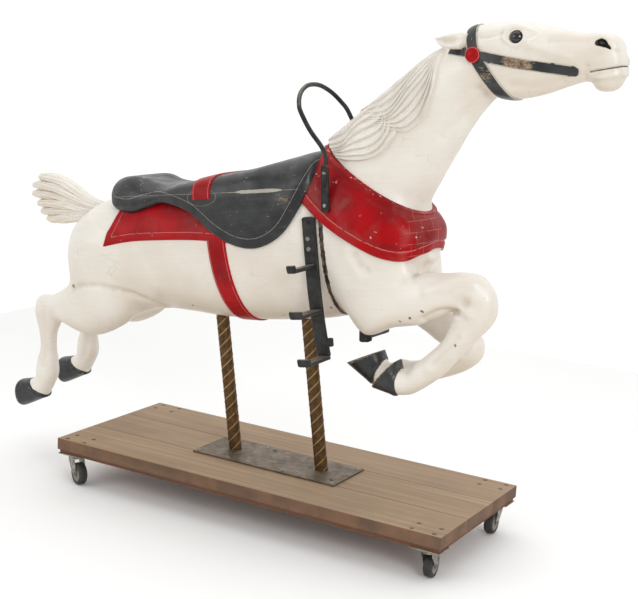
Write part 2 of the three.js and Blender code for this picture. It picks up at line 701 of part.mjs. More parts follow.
const eyeBall = (side, grow = 0) =>
  ball([EYE.u, side * EYE.y, EYE.w], [EYE.radius + grow, EYE.radius + grow, EYE.radius + grow], SIDES.eye);

const fitted = carving.subtract(join([
  poleSockets(), eyeBall(-1, FIT), eyeBall(1, FIT), hoop(FIT), stirrup(-1, FIT), stirrup(1, FIT),
]));

const group = new THREE.Group();

const leap = new THREE.Group();
leap.applyMatrix4(LEAP);
group.add(leap);

const iron = () => finish(0x2b2b2c, 0.5, 0.6);
leap.add(
  named('horse', geometryOf(fitted), finish(0xe8e2d8, 0.45)),
  named('eye_right', geometryOf(eyeBall(-1)), finish(0x141416, 0.08)),
  named('eye_left', geometryOf(eyeBall(1)), finish(0x141416, 0.08)),
  named('hand_hoop', geometryOf(hoop()), iron()),
  named('stirrup_right', geometryOf(stirrup(-1)), iron()),
  named('stirrup_left', geometryOf(stirrup(1)), iron()),
);

group.add(
  named('pole_rear', geometryOf(pole(POLE.rear)), finish(0x5b4325, 0.4, 0.8)),
  named('pole_front', geometryOf(pole(POLE.front)), finish(0x5b4325, 0.4, 0.8)),
  named('foot_plate', plate(), finish(0x6a675f, 0.5, 0.7)),
  named('plywood_sheet', ply(), finish(0x8a5a3a, 0.8)),
);
for (let k = 0; k < DECK.boards; k++) {
  group.add(named(`deck_board_${k + 1}`, board(k), finish(0x9a8672, 0.85)));
}

// Castors at the corners, each fork turned its own way.
[[-1, -1], [1, -1], [1, 1], [-1, 1]].forEach(([sx, sy], k) => {
  const corner = new THREE.Group();
  corner.position.set(sx * CASTOR.atX, sy * CASTOR.atY, 0);
  const swivel = new THREE.Group();
  swivel.rotation.z = THREE.MathUtils.degToRad(CASTOR_TURN[k]);
  corner.add(named(`castor_${k + 1}_plate`, castorPlate(), finish(ZINC, 0.45, 0.8)), swivel);
  swivel.add(
    named(`castor_${k + 1}_fork`, castorFork(), finish(ZINC, 0.45, 0.8)),
    named(`castor_${k + 1}_axle`, castorAxle(), finish(ZINC, 0.4, 0.8)),
    named(`castor_${k + 1}_wheel`, castorWheel(), finish(0x4a4844, 0.7)),
  );
  group.add(corner);
});

// The origin lies under the middle of the whole piece.
const reach = new THREE.Box3().setFromObject(group, true);
group.position.x = -(reach.min.x + reach.max.x) / 2;

export default group;
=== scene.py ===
# %% [markdown]
# # A carousel horse on its rolling stand
#
# The piece is a leaping horse, carved and glued up from blocks of basswood and painted
# cream, with a black saddle and red cloths that are carved from the same wood. Two
# twisted brass poles carry it over a plank stand on four castors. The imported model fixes
# where everything stands. This script dresses it: it works the carving out anew as fine
# surfaces, and gives every piece a finish made of nodes.

# %% The frame
import json
import math

import bpy
import numpy as np
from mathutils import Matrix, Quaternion, Vector

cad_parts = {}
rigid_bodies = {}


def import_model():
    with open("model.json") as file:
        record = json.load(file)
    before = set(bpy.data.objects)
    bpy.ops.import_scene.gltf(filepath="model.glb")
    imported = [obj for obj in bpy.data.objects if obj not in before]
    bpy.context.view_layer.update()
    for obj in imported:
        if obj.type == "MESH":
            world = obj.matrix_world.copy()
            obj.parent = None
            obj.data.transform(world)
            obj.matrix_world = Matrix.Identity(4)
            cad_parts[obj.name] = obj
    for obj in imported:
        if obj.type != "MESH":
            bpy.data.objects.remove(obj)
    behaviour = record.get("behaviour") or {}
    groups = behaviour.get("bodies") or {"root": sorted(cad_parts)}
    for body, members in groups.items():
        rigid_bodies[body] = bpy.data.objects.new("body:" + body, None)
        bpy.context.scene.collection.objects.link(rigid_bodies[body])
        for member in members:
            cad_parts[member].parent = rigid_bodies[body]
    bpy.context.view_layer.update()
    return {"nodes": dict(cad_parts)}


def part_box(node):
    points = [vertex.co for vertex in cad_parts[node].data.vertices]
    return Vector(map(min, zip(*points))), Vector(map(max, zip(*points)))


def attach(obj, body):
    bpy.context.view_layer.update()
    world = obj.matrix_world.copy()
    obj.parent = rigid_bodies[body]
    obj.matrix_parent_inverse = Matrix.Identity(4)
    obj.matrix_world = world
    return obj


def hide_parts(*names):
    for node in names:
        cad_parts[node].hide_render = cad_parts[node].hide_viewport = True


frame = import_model()
NODES = frame["nodes"]

# %% [markdown]
# ## The horse's own frame
#
# The poles lean towards the tail, and the horse leans with them. Everything on the horse
# is easier to draw in a level frame: u runs forward along the back, y to the horse's
# left, w up the poles, all in millimetres. One function turns that frame back and
# carries it to the row frame, in metres. The deck's middle plank says where the poles'
# foot plate is.

# %% The level frame
RAKE = math.radians(9.4)
PLANK_LOW, PLANK_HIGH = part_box("deck_board_2")
DECK_X = (PLANK_LOW.x + PLANK_HIGH.x) / 2
PLATE_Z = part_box("foot_plate")[1].z
LEAP_X = DECK_X - 0.0145


def place(points):
    """Level frame (u, y, w) in mm to the row frame in m: turned back by the rake about Y,
    then moved to the foot plate."""
    u, y, w = np.moveaxis(np.asarray(points, float), -1, 0)
    c, s = math.cos(RAKE), math.sin(RAKE)
    return np.stack([LEAP_X + (u * c - w * s) / 1000, y / 1000,
                     PLATE_Z + (u * s + w * c) / 1000], -1)


print("the poles' line meets the plate at x =", round(LEAP_X, 4))

# %% [markdown]
# ## Meshes from arrays
#
# Every new shape here is a grid of points. Small functions cover the topology: a grid's
# quads, a closed skin over rings, a pillow between two grids, and an object from points
# and faces. A mesh whose volume comes out negative is inside out, so its faces are turned.

# %% Mesh helpers
SIDES = ((-1, "right"), (1, "left"))        # the sign of y, and the horse's own side


def grid_quads(rows, columns, wrap=False, start=0):
    """Quads of a rows x columns grid of points, closed round the columns if wrap."""
    last = columns if wrap else columns - 1
    i, j = np.meshgrid(np.arange(rows - 1), np.arange(last), indexing="ij")
    k = (j + 1) % columns
    quads = [i * columns + j, i * columns + k, (i + 1) * columns + k, (i + 1) * columns + j]
    return np.stack(quads, -1).reshape(-1, 4) + start


def volume(points, faces):
    """Six times the signed volume: the sum of a . (b x c) over a fan of triangles."""
    total = 0.0
    for f in faces:
        for k in range(1, f.shape[1] - 1):
            a, b, c = points[f[:, 0]], points[f[:, k]], points[f[:, k + 1]]
            total += np.einsum("ij,ij->", a, np.cross(b, c))
    return total


def closed(rings):
    """A closed skin over rings (n, m, 3): quads between rings and a fan on each end."""
    rings = np.asarray(rings, float)
    n, m = rings.shape[:2]
    points = np.vstack([rings.reshape(-1, 3), rings[0].mean(0), rings[-1].mean(0)])
    j = np.arange(m)
    k = (j + 1) % m
    first = np.stack([k, j, np.full(m, n * m)], -1)
    last = np.stack([(n - 1) * m + j, (n - 1) * m + k, np.full(m, n * m + 1)], -1)
    return points, [grid_quads(n, m, wrap=True), np.vstack([first, last])]


def pillow(outer, inner):
    """A closed body between two open grids of the same size, stitched round the rim."""
    n, m = outer.shape[:2]
    points = np.vstack([outer.reshape(-1, 3), inner.reshape(-1, 3)])
    edge = np.concatenate([np.arange(m), np.arange(1, n) * m + m - 1,
                           (n - 1) * m + np.arange(m - 2, -1, -1), np.arange(n - 2, 0, -1) * m])
    ahead = np.roll(edge, -1)
    rim = np.stack([ahead, edge, edge + n * m, ahead + n * m], -1)
    return points, [grid_quads(n, m), grid_quads(n, m, start=n * m)[:, ::-1], rim]


def piece(name, shape, material, slot, stands_for=(), body="root", smooth=True, **facts):
    """An object from (points in m, faces), riding on a body. Facts become attributes."""
    points, faces = shape
    if volume(points, faces) < 0:
        faces = [f[:, ::-1] for f in faces]
    mesh = bpy.data.meshes.new(name)
    mesh.vertices.add(len(points))
    mesh.vertices.foreach_set("co", np.asarray(points, np.float32).ravel())
    loops = np.concatenate([f.ravel() for f in faces])
    sizes = np.concatenate([np.full(len(f), f.shape[1]) for f in faces])
    mesh.loops.add(len(loops))
    mesh.loops.foreach_set("vertex_index", loops.astype(np.int32))
    mesh.polygons.add(len(sizes))
    mesh.polygons.foreach_set("loop_start", (np.cumsum(sizes) - sizes).astype(np.int32))
    mesh.polygons.foreach_set("use_smooth", np.full(len(sizes), smooth))
    mesh.update(calc_edges=True)
    for key, values in facts.items():
        mesh.attributes.new(key, "FLOAT", "POINT").data.foreach_set(
            "value", np.asarray(values, np.float32).ravel())
    made = bpy.data.objects.new(name, mesh)
    bpy.context.scene.collection.objects.link(made)
    made.data.materials.append(material)
    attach(made, body)
    if stands_for:
        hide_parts(*stands_for)
    triangles = int((sizes - 2).sum())
    print(f"{name}: {triangles} triangles")
    return made


def on_horse(name, shape, material, slot, stands_for=(), **facts):
    """A piece from points in the level frame, in mm."""
    return piece(name, (place(shape[0]), shape[1]), material, slot, stands_for, **facts)


def turns(sides):
    """Angles evenly spaced round a full turn, the last a step short of it."""
    return np.linspace(0, 2 * math.pi, sides, endpoint=False)


def squared(angle, power):
    """cos and sin of angles, each to a power below 1 with its sign kept: a circle that
    fills its square's corners."""
    c, s = np.cos(angle), np.sin(angle)
    return np.sign(c) * np.abs(c) ** power, np.sign(s) * np.abs(s) ** power


def from_ends(count):
    """How many steps each of a count of places is from the nearer end."""
    return np.minimum(np.arange(count), count - 1 - np.arange(count))


def run_along(points):
    """The length from the first point to each."""
    return np.concatenate([[0], np.cumsum(np.linalg.norm(np.diff(points, axis=0), axis=1))])


def unit(v):
    """Vectors divided by their own length."""
    return v / np.maximum(np.linalg.norm(v, axis=-1, keepdims=True), 1e-9)


def curve(rows, steps):
    """Rows joined by smooth Catmull-Rom curves, with steps points to each stretch."""
    rows = np.asarray(rows, float)
    i = np.arange(len(rows) - 1)
    p0, p1 = rows[np.maximum(i - 1, 0)], rows[i]
    p2, p3 = rows[i + 1], rows[np.minimum(i + 2, len(rows) - 1)]
    t = (np.arange(steps) / steps)[:, None, None]
    made = 0.5 * (2 * p1 + (p2 - p0) * t + (2 * p0 - 5 * p1 + 4 * p2 - p3) * t ** 2
                  + (3 * p1 - p0 - 3 * p2 + p3) * t ** 3)
    return np.vstack([made.transpose(1, 0, 2).reshape(-1, rows.shape[1]), rows[-1:]])


def pick(rows, at, fineness=24):
    """The smooth curve through rows, read at row numbers that need not be whole."""
    fine = curve(rows, fineness)
    at = np.clip(np.asarray(at, float) * fineness, 0, len(fine) - 1)
    low = np.minimum(at.astype(int), len(fine) - 2)
    share = (at - low)[..., None]
    return fine[low] * (1 - share) + fine[low + 1] * share

# %% [markdown]
# ## Nodes and colours
#
# A finish is a small graph. One function adds a node with its settings and its links,
# and one turns the hex colours that a painter would name into the linear values that a
# shader wants. Two more read like a maker's notes: coats lays colours over each other,
# and reckon works a sum.

# %% Node helper
SIGNS = {"+": "ADD", "-": "SUBTRACT", "*": "MULTIPLY", "/": "DIVIDE", "^": "POWER",
         "<": "LESS_THAN", "max": "MAXIMUM", "mod": "MODULO"}


def colour(hexa):
    """sRGB hex to linear: c / 12.92 below 0.04045, else ((c + 0.055) / 1.055) ^ 2.4."""
    c = np.array([int(hexa[i:i + 2], 16) for i in (1, 3, 5)]) / 255
    return (*np.where(c <= 0.04045, c / 12.92, ((c + 0.055) / 1.055) ** 2.4), 1.0)


def add(tree, kind, inputs=None, **settings):
    """A node of a kind with its settings. Inputs go by name, or by number among those
    shown. A value is a number, a hex colour, the name of an attribute of the mesh, a
    socket, or a node, which is linked from its first shown output."""
    made = tree.nodes.new("ShaderNode" + kind)
    for key, value in settings.items():
        setattr(made, key, value)
    for key, value in (inputs or {}).items():
        shown = [s for s in made.inputs if s.enabled]
        end = shown[key] if isinstance(key, int) else next(s for s in shown if s.name == key)
        if isinstance(value, str) and value.startswith("#"):
            value = colour(value)
        elif isinstance(value, str):
            value = add(tree, "Attribute", attribute_name=value).outputs["Fac"]
        elif isinstance(value, bpy.types.Node):
            value = next(s for s in value.outputs if s.enabled)
        if isinstance(value, bpy.types.NodeSocket):
            tree.links.new(value, end)
        else:
            end.default_value = value
    return made


def finish_of(name, paint):
    """A material. The function paint builds the graph and returns the shader's inputs."""
    made = bpy.data.materials.new(name)
    made.use_nodes = True
    tree = made.node_tree
    tree.nodes.clear()
    add(tree, "OutputMaterial", {"Surface": add(tree, "BsdfPrincipled", paint(tree))})
    return made


def reckon(tree, made, *steps):
    """A sum worked from left to right: reckon(tree, a, "*", 2, "+", b) is a * 2 + b."""
    for sign, value in zip(steps[::2], steps[1::2]):
        made = add(tree, "Math", {0: made, 1: value}, operation=SIGNS[sign])
    return made


def coats(tree, base, *layers):
    """A base colour under layers of (share, colour); a share of 1 hides what is below."""
    for share, tone in layers:
        base = add(tree, "Mix", {"Factor": share, "A": base, "B": tone}, data_type="RGBA")
    return base


def level(tree, scale=(1, 1, 1)):
    """Object coordinates turned to the level frame, in metres, then stretched."""
    c, s = math.cos(RAKE), math.sin(RAKE)
    at = add(tree, "TexCoord").outputs["Object"]
    turned = add(tree, "Mapping", {"Vector": at, "Rotation": (0, RAKE, 0), "Location": (
        -LEAP_X * c - PLATE_Z * s, 0, LEAP_X * s - PLATE_Z * c)})
    return add(tree, "Mapping", {"Vector": turned, "Scale": scale})


def patches(tree, at, scale, low, high, detail=4.0, twist=0.0):
    """A noise pattern cut to a soft mask: 0 below low, 1 above high. The scale counts
    patches per metre of at."""
    clouds = add(tree, "TexNoise", {"Vector": at, "Scale": scale, "Detail": detail,
                                    "Roughness": 0.55, "Distortion": twist})
    return add(tree, "MapRange", {"Value": clouds, "From Min": low, "From Max": high},
               interpolation_type="SMOOTHSTEP")


def near(tree, value, middle, half, soft):
    """1 where a value lies within half of a middle, falling to 0 over soft."""
    off = add(tree, "Math", {0: reckon(tree, value, "-", middle)}, operation="ABSOLUTE")
    return add(tree, "MapRange", {"Value": off, "From Min": half + soft, "From Max": half},
               interpolation_type="SMOOTHSTEP")


def swayed(tree, at, scale, by, moved=None):
    """A place moved by coloured noise at a scale, by up to the vector by."""
    noise = add(tree, "TexNoise", {"Vector": at, "Scale": scale}).outputs["Color"]
    sway = add(tree, "VectorMath", {0: noise, 1: by}, operation="MULTIPLY")
    return add(tree, "VectorMath", {0: moved or at, 1: sway}, operation="ADD")


def facing_up(tree, low, high):
    """0 to 1 as the upward part of the surface's direction goes from low to high."""
    tilt = add(tree, "SeparateXYZ", {0: add(tree, "TexCoord").outputs["Normal"]}).outputs["Z"]
    return add(tree, "MapRange", {"Value": tilt, "From Min": low, "From Max": high})


# %% [markdown]
# ## The carved body as a field
#
# A carver thinks of the horse as limbs of oval section that flow into each other. Each
# limb is a list of slices: the two points where the slice meets the side outline, its
# half width and the y of its middle. For any point in space the slice through it is
# found, and the point's place in that slice's oval gives a distance to the skin. The
# distances of all limbs are joined by a smooth minimum, which fills the corner between
# two limbs as a carver's gouge does. Modelling by hand with subdivision surfaces would
# also do, but the field keeps every size a named number.

# %% Slices of the limbs
def halves(rows):
    """The middles of slices, and the half lines from there to their first points."""
    return (rows[..., :2] + rows[..., 2:4]) / 2, (rows[..., :2] - rows[..., 2:4]) / 2


# each row: the slice's upper point u, w, its lower point u, w, half width, middle y, in mm
TRUNK = [
    [-704, 700, -706, 650, 24, 0], [-694, 766, -698, 574, 88, 0], [-664, 824, -666, 520, 128, 0],
    [-604, 864, -600, 486, 154, 0], [-520, 884, -510, 480, 162, 0], [-400, 896, -400, 500, 158, 0],
    [-260, 902, -270, 492, 154, 0], [-120, 908, -130, 472, 158, 0], [30, 914, 20, 460, 160, 0],
    [180, 934, 170, 460, 154, 0], [300, 960, 290, 466, 146, 0], [400, 940, 390, 490, 144, 0],
    [500, 880, 490, 530, 138, 0], [580, 800, 575, 580, 104, 0], [618, 740, 618, 630, 50, 0],
]
NECK = [
    [230, 930, 560, 640, 120, 0], [318, 1015, 606, 785, 112, 0], [378, 1056, 652, 855, 98, 0],
    [448, 1098, 704, 924, 84, 0], [536, 1152, 772, 1010, 74, 0], [622, 1198, 830, 1066, 68, 0],
    [704, 1236, 866, 1092, 66, 0], [772, 1262, 900, 1110, 62, 0],
]
HEAD = [
    [776, 1272, 842, 1120, 50, 0], [806, 1288, 866, 1088, 66, 0], [862, 1291, 898, 1076, 74, 0],
    [910, 1290, 935, 1074, 76, 0], [958, 1284, 972, 1076, 72, 0], [1012, 1266, 1018, 1083, 61, 0],
    [1072, 1246, 1070, 1095, 52, 0], [1124, 1233, 1118, 1102, 47, 0], [1168, 1228, 1158, 1090, 50, 0],
    [1197, 1212, 1187, 1077, 50, 0], [1220, 1186, 1208, 1084, 43, 0], [1233, 1156, 1226, 1108, 27, 0],
]
FORE_RIGHT = [
    [450, 780, 356, 730, 30, -92], [550, 690, 344, 600, 46, -93], [584, 628, 366, 494, 52, -94],
    [606, 606, 424, 424, 52, -97], [646, 604, 520, 446, 52, -102], [704, 603, 604, 454, 49, -106],
    [764, 602, 664, 474, 47, -106], [822, 584, 706, 488, 46, -106], [854, 530, 722, 488, 44, -106],
    [842, 462, 718, 474, 40, -106], [772, 398, 682, 414, 34, -106], [676, 312, 632, 372, 33, -106],
    [618, 274, 590, 344, 38, -106], [562, 248, 560, 322, 34, -106], [516, 246, 528, 326, 40, -106],
]
FORE_LEFT = [
    [450, 760, 356, 710, 30, 92], [540, 660, 350, 590, 46, 93], [584, 580, 396, 474, 52, 95],
    [622, 512, 500, 418, 52, 100], [676, 446, 564, 368, 48, 104], [706, 390, 602, 344, 46, 104],
    [704, 326, 606, 338, 44, 104], [660, 286, 594, 334, 38, 104], [580, 258, 566, 322, 33, 104],
    [470, 236, 468, 308, 35, 104], [424, 228, 428, 312, 38, 104], [366, 226, 386, 300, 34, 104],
    [322, 236, 368, 316, 40, 104],
]
HIND_RIGHT = [
    [-580, 800, -440, 720, 46, -92], [-640, 710, -452, 560, 64, -98], [-662, 650, -484, 476, 66, -100],
    [-690, 612, -590, 437, 61, -106], [-740, 582, -664, 444, 53, -110], [-792, 566, -716, 462, 45, -110],
    [-824, 570, -744, 470, 40, -110], [-856, 554, -766, 470, 37, -110], [-866, 506, -782, 452, 34, -110],
    [-858, 440, -796, 430, 30, -110], [-862, 384, -806, 380, 29, -110], [-882, 344, -806, 336, 34, -110],
    [-892, 306, -812, 288, 38, -110], [-900, 282, -838, 246, 35, -110], [-930, 270, -868, 210, 40, -110],
]
SOLES = {"fore_right": ((441, 268), (531, 352), 52), "fore_left": ((238, 302), (364, 340), 52),
         "hind_right": ((-972, 270), (-968, 176), 50)}
RAISED = 38     # mm that the left hind foot is thrown higher


def raised_left(rows, by):
    """The left hind leg: mirrored in y, its lower part lifted, more and more to row 5."""
    made = np.array(rows, float)
    lift = by * np.minimum(1, np.arange(len(made)) / 5)
    made[:, [1, 3]] += lift[:, None]
    made[:, 5] *= -1
    return made


HIND_LEFT = raised_left(HIND_RIGHT, RAISED)
SOLES["hind_left"] = ((-972, 270 + RAISED), (-968, 176 + RAISED), 50)
print("the trunk is", 704 + 618, "mm long in", len(TRUNK), "slices")

# %% The distance to a limb
FAR = 900.0


def slice_at(rows, points):
    """For points (n, 2) in the side view: the slice of the limb through each, as
    [middle u, w, half u, half w, half width, y], the place across it from -1 to 1, and how
    far the point is past the limb's ends. A point is between two slices where its
    distance to one slice's line is positive and to the next one's negative."""
    fine = curve(rows, 7)
    middle, half = halves(fine)
    normal = unit(np.stack([half[:, 1], -half[:, 0]], -1))
    ahead = np.gradient(middle, axis=0)
    normal *= np.sign(np.einsum("ij,ij->i", normal, ahead))[:, None]
    past = points @ normal.T - np.einsum("ij,ij->i", middle, normal)
    table = np.hstack([middle, half, fine[:, 4:6]])
    length = run_along(middle)
    best = np.full(len(points), 1e6)
    found = np.repeat(table[:1], len(points), 0)
    beyond = np.full(len(points), FAR)
    for i in range(len(fine) - 1):
        here = np.flatnonzero((past[:, i] >= 0) & (past[:, i + 1] < 0))
        share = (past[here, i] / (past[here, i] - past[here, i + 1]))[:, None]
        row = table[i] * (1 - share) + table[i + 1] * share
        across = np.einsum("ij,ij->i", points[here] - row[:, :2], row[:, 2:4])
        across /= np.einsum("ij,ij->i", row[:, 2:4], row[:, 2:4])
        nearer = np.abs(across) < best[here]
        here, row, across, share = here[nearer], row[nearer], across[nearer], share[nearer, 0]
        best[here], found[here] = np.abs(across), row
        run = length[i] + share * (length[i + 1] - length[i])
        beyond[here] = np.maximum(-run, run - length[-1])
    for end, sign in ((0, -1), (-1, 1)):
        off = sign * past[:, end]
        here = np.flatnonzero((best > 3) & (off >= 0) & (off < 90))
        best[here], found[here], beyond[here] = 1, table[end], off[here]
    across = np.einsum("ij,ij->i", points - found[:, :2], found[:, 2:4])
    across /= np.maximum(np.einsum("ij,ij->i", found[:, 2:4], found[:, 2:4]), 1e-9)
    return found, across, beyond


def soft_min(a, b, k):
    """min(a, b) with the corner filled: less h^2 k / 4, h = 1 - |a - b| / k where positive."""
    h = np.maximum(1 - np.abs(a - b) / k, 0)
    return np.minimum(a, b) - h * h * k / 4


def window(axes, low, high):
    """Slices of the three axes that cover a box."""
    return tuple(slice(*np.searchsorted(axis, [lo, hi])) for axis, lo, hi in zip(axes, low, high))


def join_limb(field, axes, rows, blend, power=2.0, waist=0.0):
    """Adds a limb. With c across the slice and v = y / half width, r is the (power)-norm of
    (c, v), and the distance is (r - 1) over the length of r's gradient. waist above 0
    makes the slice narrower towards its upper edge."""
    rows = np.asarray(rows, float)
    margin = blend + 12
    us, ws, wide, ys = rows[:, [0, 2]], rows[:, [1, 3]], rows[:, 4], rows[:, 5]
    part = window(axes, [us.min() - margin, (ys - wide).min() - margin, ws.min() - margin],
                  [us.max() + margin, (ys + wide).max() + margin, ws.max() + margin])
    u, y, w = (axis[s] for axis, s in zip(axes, part))
    if min(len(u), len(y), len(w)) < 2:
        return
    points = np.stack(np.meshgrid(u, w, indexing="ij"), -1).reshape(-1, 2)
    found, c, beyond = slice_at(rows, points)
    shape = (len(u), 1, len(w))
    c, beyond = c.reshape(shape), beyond.reshape(shape)
    long = np.linalg.norm(found[:, 2:4], axis=1).reshape(shape)
    broad = found[:, 4].reshape(shape) * (1 - waist * np.clip(c, -1.2, 1.2))
    v = np.abs((y[None, :, None] - found[:, 5].reshape(shape)) / broad)
    a, b = np.abs(c), v
    r = (a ** power + b ** power) ** (1 / power)
    safe = np.maximum(r, 1e-3) ** (power - 1)
    slope = np.sqrt((a ** (power - 1) / long) ** 2 + (b ** (power - 1) / broad) ** 2) / safe
    distance = (r - 1) / np.maximum(slope, 1e-4)
    distance = np.maximum(distance, beyond)
    field[part] = soft_min(field[part], distance.astype(np.float32), blend)


def join_ball(field, axes, centre, size, blend, turn=0.0, cut=False):
    """Adds or cuts a ball squashed to half sizes (along, y, across), turned in the side
    view by turn degrees; its twin on the other side comes with it if centre y isn't 0."""
    reach = max(size) + blend + 10
    for side in ((-1, 1) if centre[1] else (1,)):
        middle = np.array([centre[0], side * centre[1], centre[2]], float)
        part = window(axes, middle - reach, middle + reach)
        u, y, w = np.meshgrid(*(axis[s] for axis, s in zip(axes, part)), indexing="ij", sparse=True)
        if min(u.size, y.size, w.size) < 2:
            continue
        c, s = math.cos(math.radians(turn)), math.sin(math.radians(turn))
        du, dy, dw = u - middle[0], y - middle[1], w - middle[2]
        along, over = (du * c + dw * s) / size[0], (dw * c - du * s) / size[2]
        aside = dy / size[1]
        r = np.sqrt(along ** 2 + aside ** 2 + over ** 2)
        slope = np.sqrt((along / size[0]) ** 2 + (aside / size[1]) ** 2 + (over / size[2]) ** 2)
        distance = (r - 1) * r / np.maximum(slope, 1e-4)
        if cut:
            field[part] = -soft_min(-field[part], distance, blend)
        else:
            field[part] = soft_min(field[part], distance, blend)

# %% [markdown]
# ## From field to skin
#
# The field is sampled on a box of points and turned into quads by surface nets: each
# small cell that the skin cuts gets one vertex, at the mean of the places where its
# edges cross zero, and each cut edge gets a quad. Marching cubes would also work, but
# surface nets give even quads, which shade better on a smooth carving. Two rounds of
# averaging and pulling back onto the skin even them out further.

# %% Surface nets
def surface_net(field, axes):
    """Quads of the zero surface, the faces outwards where the field rises."""
    cells = np.array(field.shape) - 1
    around, spots, flips = [], [], []
    for axis in range(3):
        others = [(axis + 1) % 3, (axis + 2) % 3]
        a = np.take(field, range(cells[axis]), axis)
        b = np.take(field, range(1, cells[axis] + 1), axis)
        at = np.stack(np.nonzero((a < 0) != (b < 0)), -1)
        for o in others:
            at = at[(at[:, o] > 0) & (at[:, o] < cells[o])]
        fa, fb = a[tuple(at.T)], b[tuple(at.T)]
        spot = np.stack([axes[k][at[:, k]] for k in range(3)], -1).astype(float)
        step = axes[axis][at[:, axis] + 1] - axes[axis][at[:, axis]]
        spot[:, axis] += fa / (fa - fb) * step
        corners = []
        for back in ((1, 1), (0, 1), (0, 0), (1, 0)):
            cell = at.copy()
            cell[:, others[0]] -= back[0]
            cell[:, others[1]] -= back[1]
            corners.append(np.ravel_multi_index(cell.T, cells))
        around.append(np.stack(corners, -1))
        spots.append(spot)
        flips.append(fa > 0)
    around, spots, flips = np.vstack(around), np.vstack(spots), np.concatenate(flips)
    used, index = np.unique(around, return_inverse=True)
    index = index.reshape(-1, 4)
    count = np.bincount(index.ravel(), minlength=len(used))
    points = np.stack([np.bincount(index.ravel(), np.repeat(spots[:, k], 4), len(used))
                       for k in range(3)], -1) / count[:, None]
    index[flips] = index[flips][:, ::-1]
    return points, index


def sample(field, axes, points):
    """The field at any points: the weighted mean of the eight samples around each."""
    total = np.zeros(len(points))
    low, share = [], []
    for k in range(3):
        step = axes[k][1] - axes[k][0]
        at = np.clip((points[:, k] - axes[k][0]) / step, 0, len(axes[k]) - 1.001)
        low.append(at.astype(int))
        share.append(at - at.astype(int))
    for di in (0, 1):
        for dj in (0, 1):
            for dk in (0, 1):
                weight = ((share[0] if di else 1 - share[0]) * (share[1] if dj else 1 - share[1])
                          * (share[2] if dk else 1 - share[2]))
                total += weight * field[low[0] + di, low[1] + dj, low[2] + dk]
    return total


def slope_at(field, axes, points):
    """The field's gradient, from samples one step to either side."""
    made = []
    for k in range(3):
        step = np.zeros(3)
        step[k] = axes[k][1] - axes[k][0]
        made.append((sample(field, axes, points + step) - sample(field, axes, points - step))
                    / (2 * step[k]))
    return np.stack(made, -1)


def edges_of(quads):
    """Both ends of every quad side, each side once per quad."""
    return quads.ravel(), np.roll(quads, -1, axis=1).ravel()


def averaged(values, quads):
    """Each vertex's value replaced by the mean of its neighbours' values."""
    a, b = edges_of(quads)
    count = np.bincount(a, minlength=len(values)) + np.bincount(b, minlength=len(values))
    columns = values.reshape(len(values), -1)
    made = np.stack([np.bincount(a, column[b], len(values)) + np.bincount(b, column[a], len(values))
                     for column in columns.T], -1) / np.maximum(count, 1)[:, None]
    return made.reshape(values.shape)


def settle(points, quads, field, axes, rounds=2):
    """Averages the net and pulls it back onto the skin: p less f times grad f / |grad f|^2."""
    for _ in range(rounds):
        points = 0.5 * points + 0.5 * averaged(points, quads)
        slope = slope_at(field, axes, points)
        steep = np.maximum(np.einsum("ij,ij->i", slope, slope), 0.2)
        points = points - slope * (sample(field, axes, points) / steep)[:, None]
    return points


def normals_of(points, quads):
    """Vertex normals: the sum of the crossed diagonals of the quads around each."""
    a, b, c, d = (points[quads[:, k]] for k in range(4))
    face = np.cross(c - a, d - b)
    total = np.stack([np.bincount(quads.ravel(), np.repeat(face[:, k], 4), len(points))
                      for k in range(3)], -1)
    return unit(total)

# %% [markdown]
# ## The horse's two blocks
#
# The real horse is glued up, with the head as a block of its own, and the bridle hides
# the joint. The same is done here: the head is worked at 2.3 mm and the body at 6.2 mm,
# and each ends a little way under the crown and throat straps. Balls squashed to size
# stand for the jaw, the brow and the muscles that are too round for a slice to give.

# %% The field of the whole horse
ROSETTE = (820, 1206)
CROWN, THROAT = (804, 1310), (906, 1060)
LAP = 7         # mm that each block runs on past the joint
BALLS = [       # centre (u, y, w), half sizes (along, y, across), blend, turn in degrees
    ((905, 40, 1152), (68, 34, 64), 26, 0),         # cheek
    ((950, 42, 1242), (44, 26, 34), 22, -8),        # brow
    ((1182, 26, 1196), (36, 24, 24), 20, -20),      # nostril's flare
    ((1176, 0, 1093), (36, 34, 22), 18, 8),         # chin
    ((1190, 18, 1110), (30, 22, 12), 14, 10),       # lower lip
    ((532, 46, 640), (66, 48, 54), 44, 30),         # breast
    ((470, 96, 600), (110, 40, 90), 60, 40),        # shoulder
    ((-560, 96, 700), (120, 56, 110), 70, -30),     # haunch
    ((-600, 96, 520), (110, 50, 70), 60, 15),       # thigh
]
CUTS = [
    ((1183, 50, 1198), (14, 16, 11), 4, -30),       # nostril
    ((1197, 50, 1187), (11, 12, 4), 4, -50),        # its tail
    ((948, 66, 1240), (20, 18, 18), 5, 0),          # eye socket
]


def joint_side(u, w):
    """How far a point in the side view is past the joint under the straps, head side
    positive: measured from the line through the rosette to the crown above it, and to
    the throat below it."""
    above = (u - ROSETTE[0]) + (w - ROSETTE[1]) * (ROSETTE[0] - CROWN[0]) / (CROWN[1] - ROSETTE[1])
    du, dw = THROAT[0] - ROSETTE[0], THROAT[1] - ROSETTE[1]
    below = ((ROSETTE[0] - u) * dw + (w - ROSETTE[1]) * du) / math.hypot(du, dw)
    return np.where(w > ROSETTE[1], above, below)


